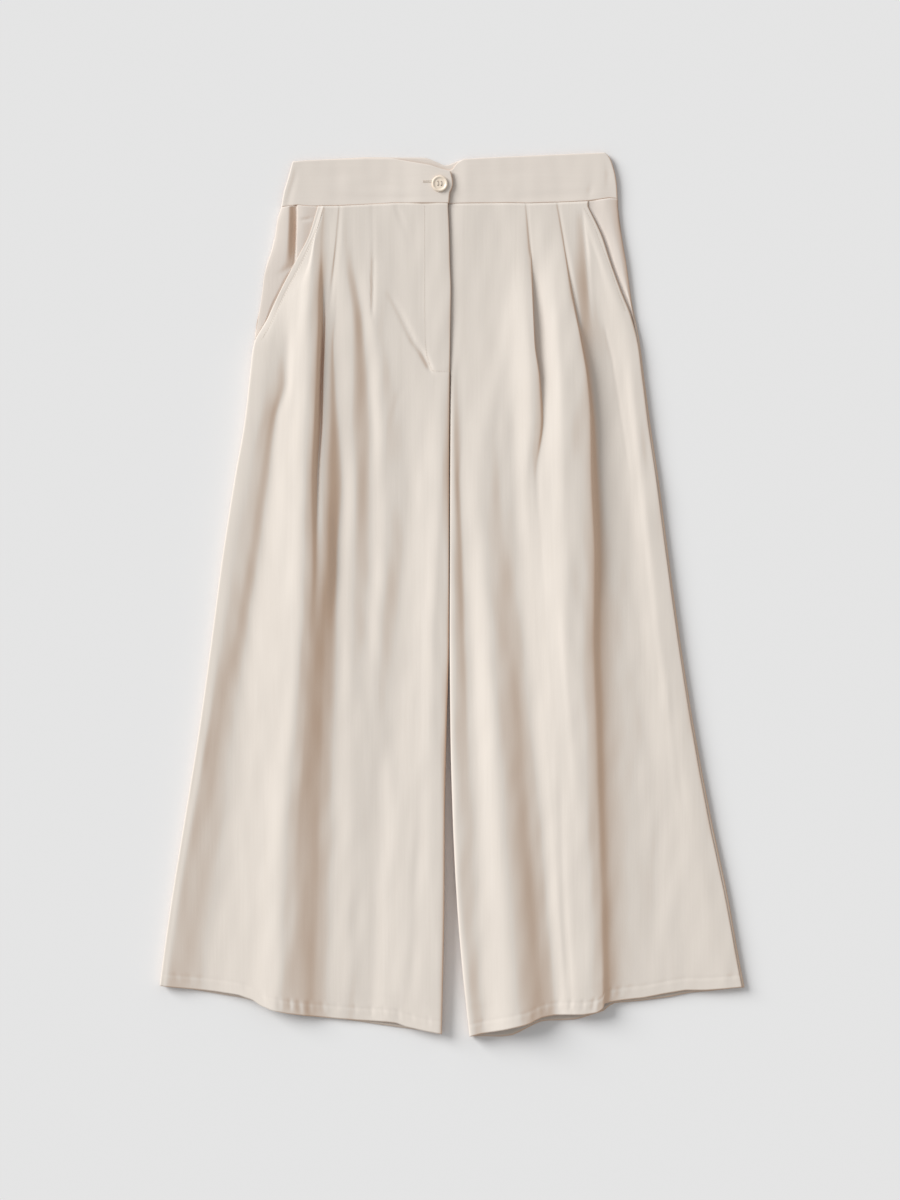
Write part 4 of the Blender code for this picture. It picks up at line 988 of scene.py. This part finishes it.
# The band's crepe is painted a little lighter than the legs', as painted light for the band's tilt
# towards the sun; its streaks run along the band
crepe_band = crepe(
    "crepe_band_cloth", (0.725, 0.662, 0.6, 1), (0.705, 0.64, 0.578, 1), (0.03, 1, 1)
)
crepe_inside = crepe("crepe_facing_cloth", (0.71, 0.64, 0.58, 1), (0.67, 0.598, 0.536, 1))
thread = two_tone(
    "thread_twist", {"Roughness": 0.6}, {"scale": 3000, "detail": 1},
    (0.6, 0.52, 0.44, 1), (0.72, 0.65, 0.57, 1), 0.3, 0.0001,
)
button_resin = two_tone(
    "button_resin", {"Roughness": 0.3, "Coat Weight": 0.25, "Coat Roughness": 0.2},
    {"scale": 240, "stretch": (1, 2.2, 1), "detail": 3, "roughness": 0.6},
    (0.8, 0.68, 0.55, 1), (0.86, 0.76, 0.64, 1), 0.05, 0.0002,
)
zip_weave = two_tone(
    "zip_tape_weave", {"Roughness": 0.7}, {"scale": 500, "stretch": (0.1, 2.4, 1), "detail": 1},
    (0.5, 0.44, 0.38, 1), (0.62, 0.56, 0.49, 1), 0.4, 0.0003,
)
studio_paper = Finish("studio_paper", {
    "Roughness": 0.95, "Base Color": (0.8, 0.8, 0.8, 1), "Specular IOR Level": 0,
}).material

CLOTHS = (
    # node it replaces, how it is made, from what tables, material, slot, rectangle of its cut in
    # metres, share that the cut fills, what it lies on if not the floor
    ("front_right", front_panel,
     (FRONT_RIGHT, RIGHT_WAIST, RIGHT_HEM, RIGHT_CREASES, RIGHT_PUCKERS),
     crepe_face, "crepe", (0.345, 0.885), 0.8, "back_right"),
    ("front_left", front_panel,
     (FRONT_LEFT, LEFT_WAIST, LEFT_HEM, LEFT_CREASES, LEFT_PUCKERS),
     crepe_face, "crepe", (0.345, 0.885), 0.8, "back_left"),
    ("back_right", back_panel, (BACK_RIGHT, 1, BACK_RIGHT_HEM, BACK_CREASES_RIGHT),
     crepe_face, "crepe", (0.325, 0.885), 0.8, None),
    ("back_left", back_panel, (BACK_LEFT, -1, BACK_LEFT_HEM, BACK_CREASES_LEFT),
     crepe_face, "crepe", (0.325, 0.885), 0.8, None),
    ("pocket_facing_right", facing_panel, (FACING_RIGHT, RIGHT_WAIST, FACING_CREASES),
     crepe_inside, "crepe_facing", (0.075, 0.145), 0.45, "back_right"),
    ("pocket_facing_left", facing_panel, (FACING_LEFT, LEFT_WAIST, ()),
     crepe_inside, "crepe_facing", (0.06, 0.145), 0.45, "back_left"),
    ("waistband_front_right", waistband, (BAND_RIGHT, BAND_CREASES_RIGHT),
     crepe_band, "crepe", (0.18, 0.05), 1.0, "waistband_back"),
    ("waistband_front_left", waistband, (BAND_LEFT, BAND_CREASES_LEFT),
     crepe_band, "crepe", (0.202, 0.05), 1.0, "waistband_back"),
    ("waistband_back", waistband, (BAND_BACK, ()),
     crepe_band, "crepe", (0.352, 0.05), 1.0, None),
)
cloths = {}
for node, make, tables, cloth, slot, *_ in CLOTHS:
    piece = cloths[node] = make(f"{node}_cloth", *tables, cloth)
    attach(piece, "root")
    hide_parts(node)

button_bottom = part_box("button")[0][2] / MM
tab_top = heights_at(cloths["waistband_front_right"], *np.array(TAB_PLACES))[0]
for piece in (
    stitch_rows("front_right_stitching", cloths["front_right"], RIGHT_STITCHES, thread),
    stitch_rows("front_left_stitching", cloths["front_left"], LEFT_STITCHES, thread),
    beads("button_thread", [
        (near(BUTTON_X, BUTTON_Y, button_bottom + TURN_HEIGHT, offset), (0, 1, 0))
        for offset in TURN_OFFSETS
    ], BUTTON_THREAD, thread),
    beads("button_shank", [
        (near(BUTTON_X, BUTTON_Y, button_bottom + SHANK_HEIGHT, offset), (0.02, 0, 1))
        for offset in SHANK_OFFSETS
    ], SHANK_THREAD, thread),
    beads("buttonhole_stitching", [
        (near(x, HOLE_Y, tab_top - HOLE_SINK, (0, side * HOLE_OFFSET)), (0.05, 1, 0))
        for side in (-1, 1) for x in np.arange(HOLE_START, HOLE_END, HOLE_SPACING)
    ], HOLE_THREAD, thread),
):
    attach(piece, "root")
for node, finish in (("button", button_resin), ("fly_zip", zip_weave)):
    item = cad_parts[node]
    for material_slot in item.material_slots:
        material_slot.material = finish
    item.data.shade_smooth()

# --- floor, light and camera ---

FLOOR_REACH, FLOOR_DROP = 6, -0.0004
WORLD_STRENGTH = 0.475
SUN_ELEVATION = math.radians(26.5)
SUN_BEARING = math.radians(150)  # from +X towards +Y: the light comes from the upper left
SUN_POWER = 3.53
SUN_SPREAD = math.radians(34)
CAMERA_HEIGHT = 4
SENSOR = 24
PHOTO_WIDTH, PHOTO_HEIGHT = 900, 1200  # grid units

floor_mesh = bpy.data.meshes.new("floor")
floor_mesh.from_pydata(
    [(x * FLOOR_REACH, y * FLOOR_REACH, FLOOR_DROP)
     for x, y in ((-1, -1), (1, -1), (1, 1), (-1, 1))],
    [], [(0, 1, 2, 3)],
)
floor_mesh.materials.append(studio_paper)
floor = add_object("floor", floor_mesh)

world = bpy.data.worlds.new("studio")
world.use_nodes = True
sky = world.node_tree.nodes["Background"].inputs
sky["Color"].default_value = (1, 1, 1, 1)
sky["Strength"].default_value = WORLD_STRENGTH
bpy.context.scene.world = world

sun = bpy.data.lights.new("softbox", "SUN")
sun.energy = SUN_POWER
sun.angle = SUN_SPREAD
softbox = add_object("softbox", sun)
softbox.rotation_euler = (math.pi / 2 - SUN_ELEVATION, 0, SUN_BEARING + math.pi / 2)

lens = bpy.data.cameras.new("camera")
lens.sensor_fit = "VERTICAL"
lens.sensor_height = SENSOR
lens.lens = SENSOR * CAMERA_HEIGHT / (PHOTO_HEIGHT * UNIT)
lens.clip_start, lens.clip_end = 0.1, 50
camera = add_object("camera", lens)
camera.location = in_metres(PHOTO_WIDTH / 2, PHOTO_HEIGHT / 2, CAMERA_HEIGHT / MM)
bpy.context.scene.camera = camera
bpy.context.scene.view_settings.view_transform = "Standard"
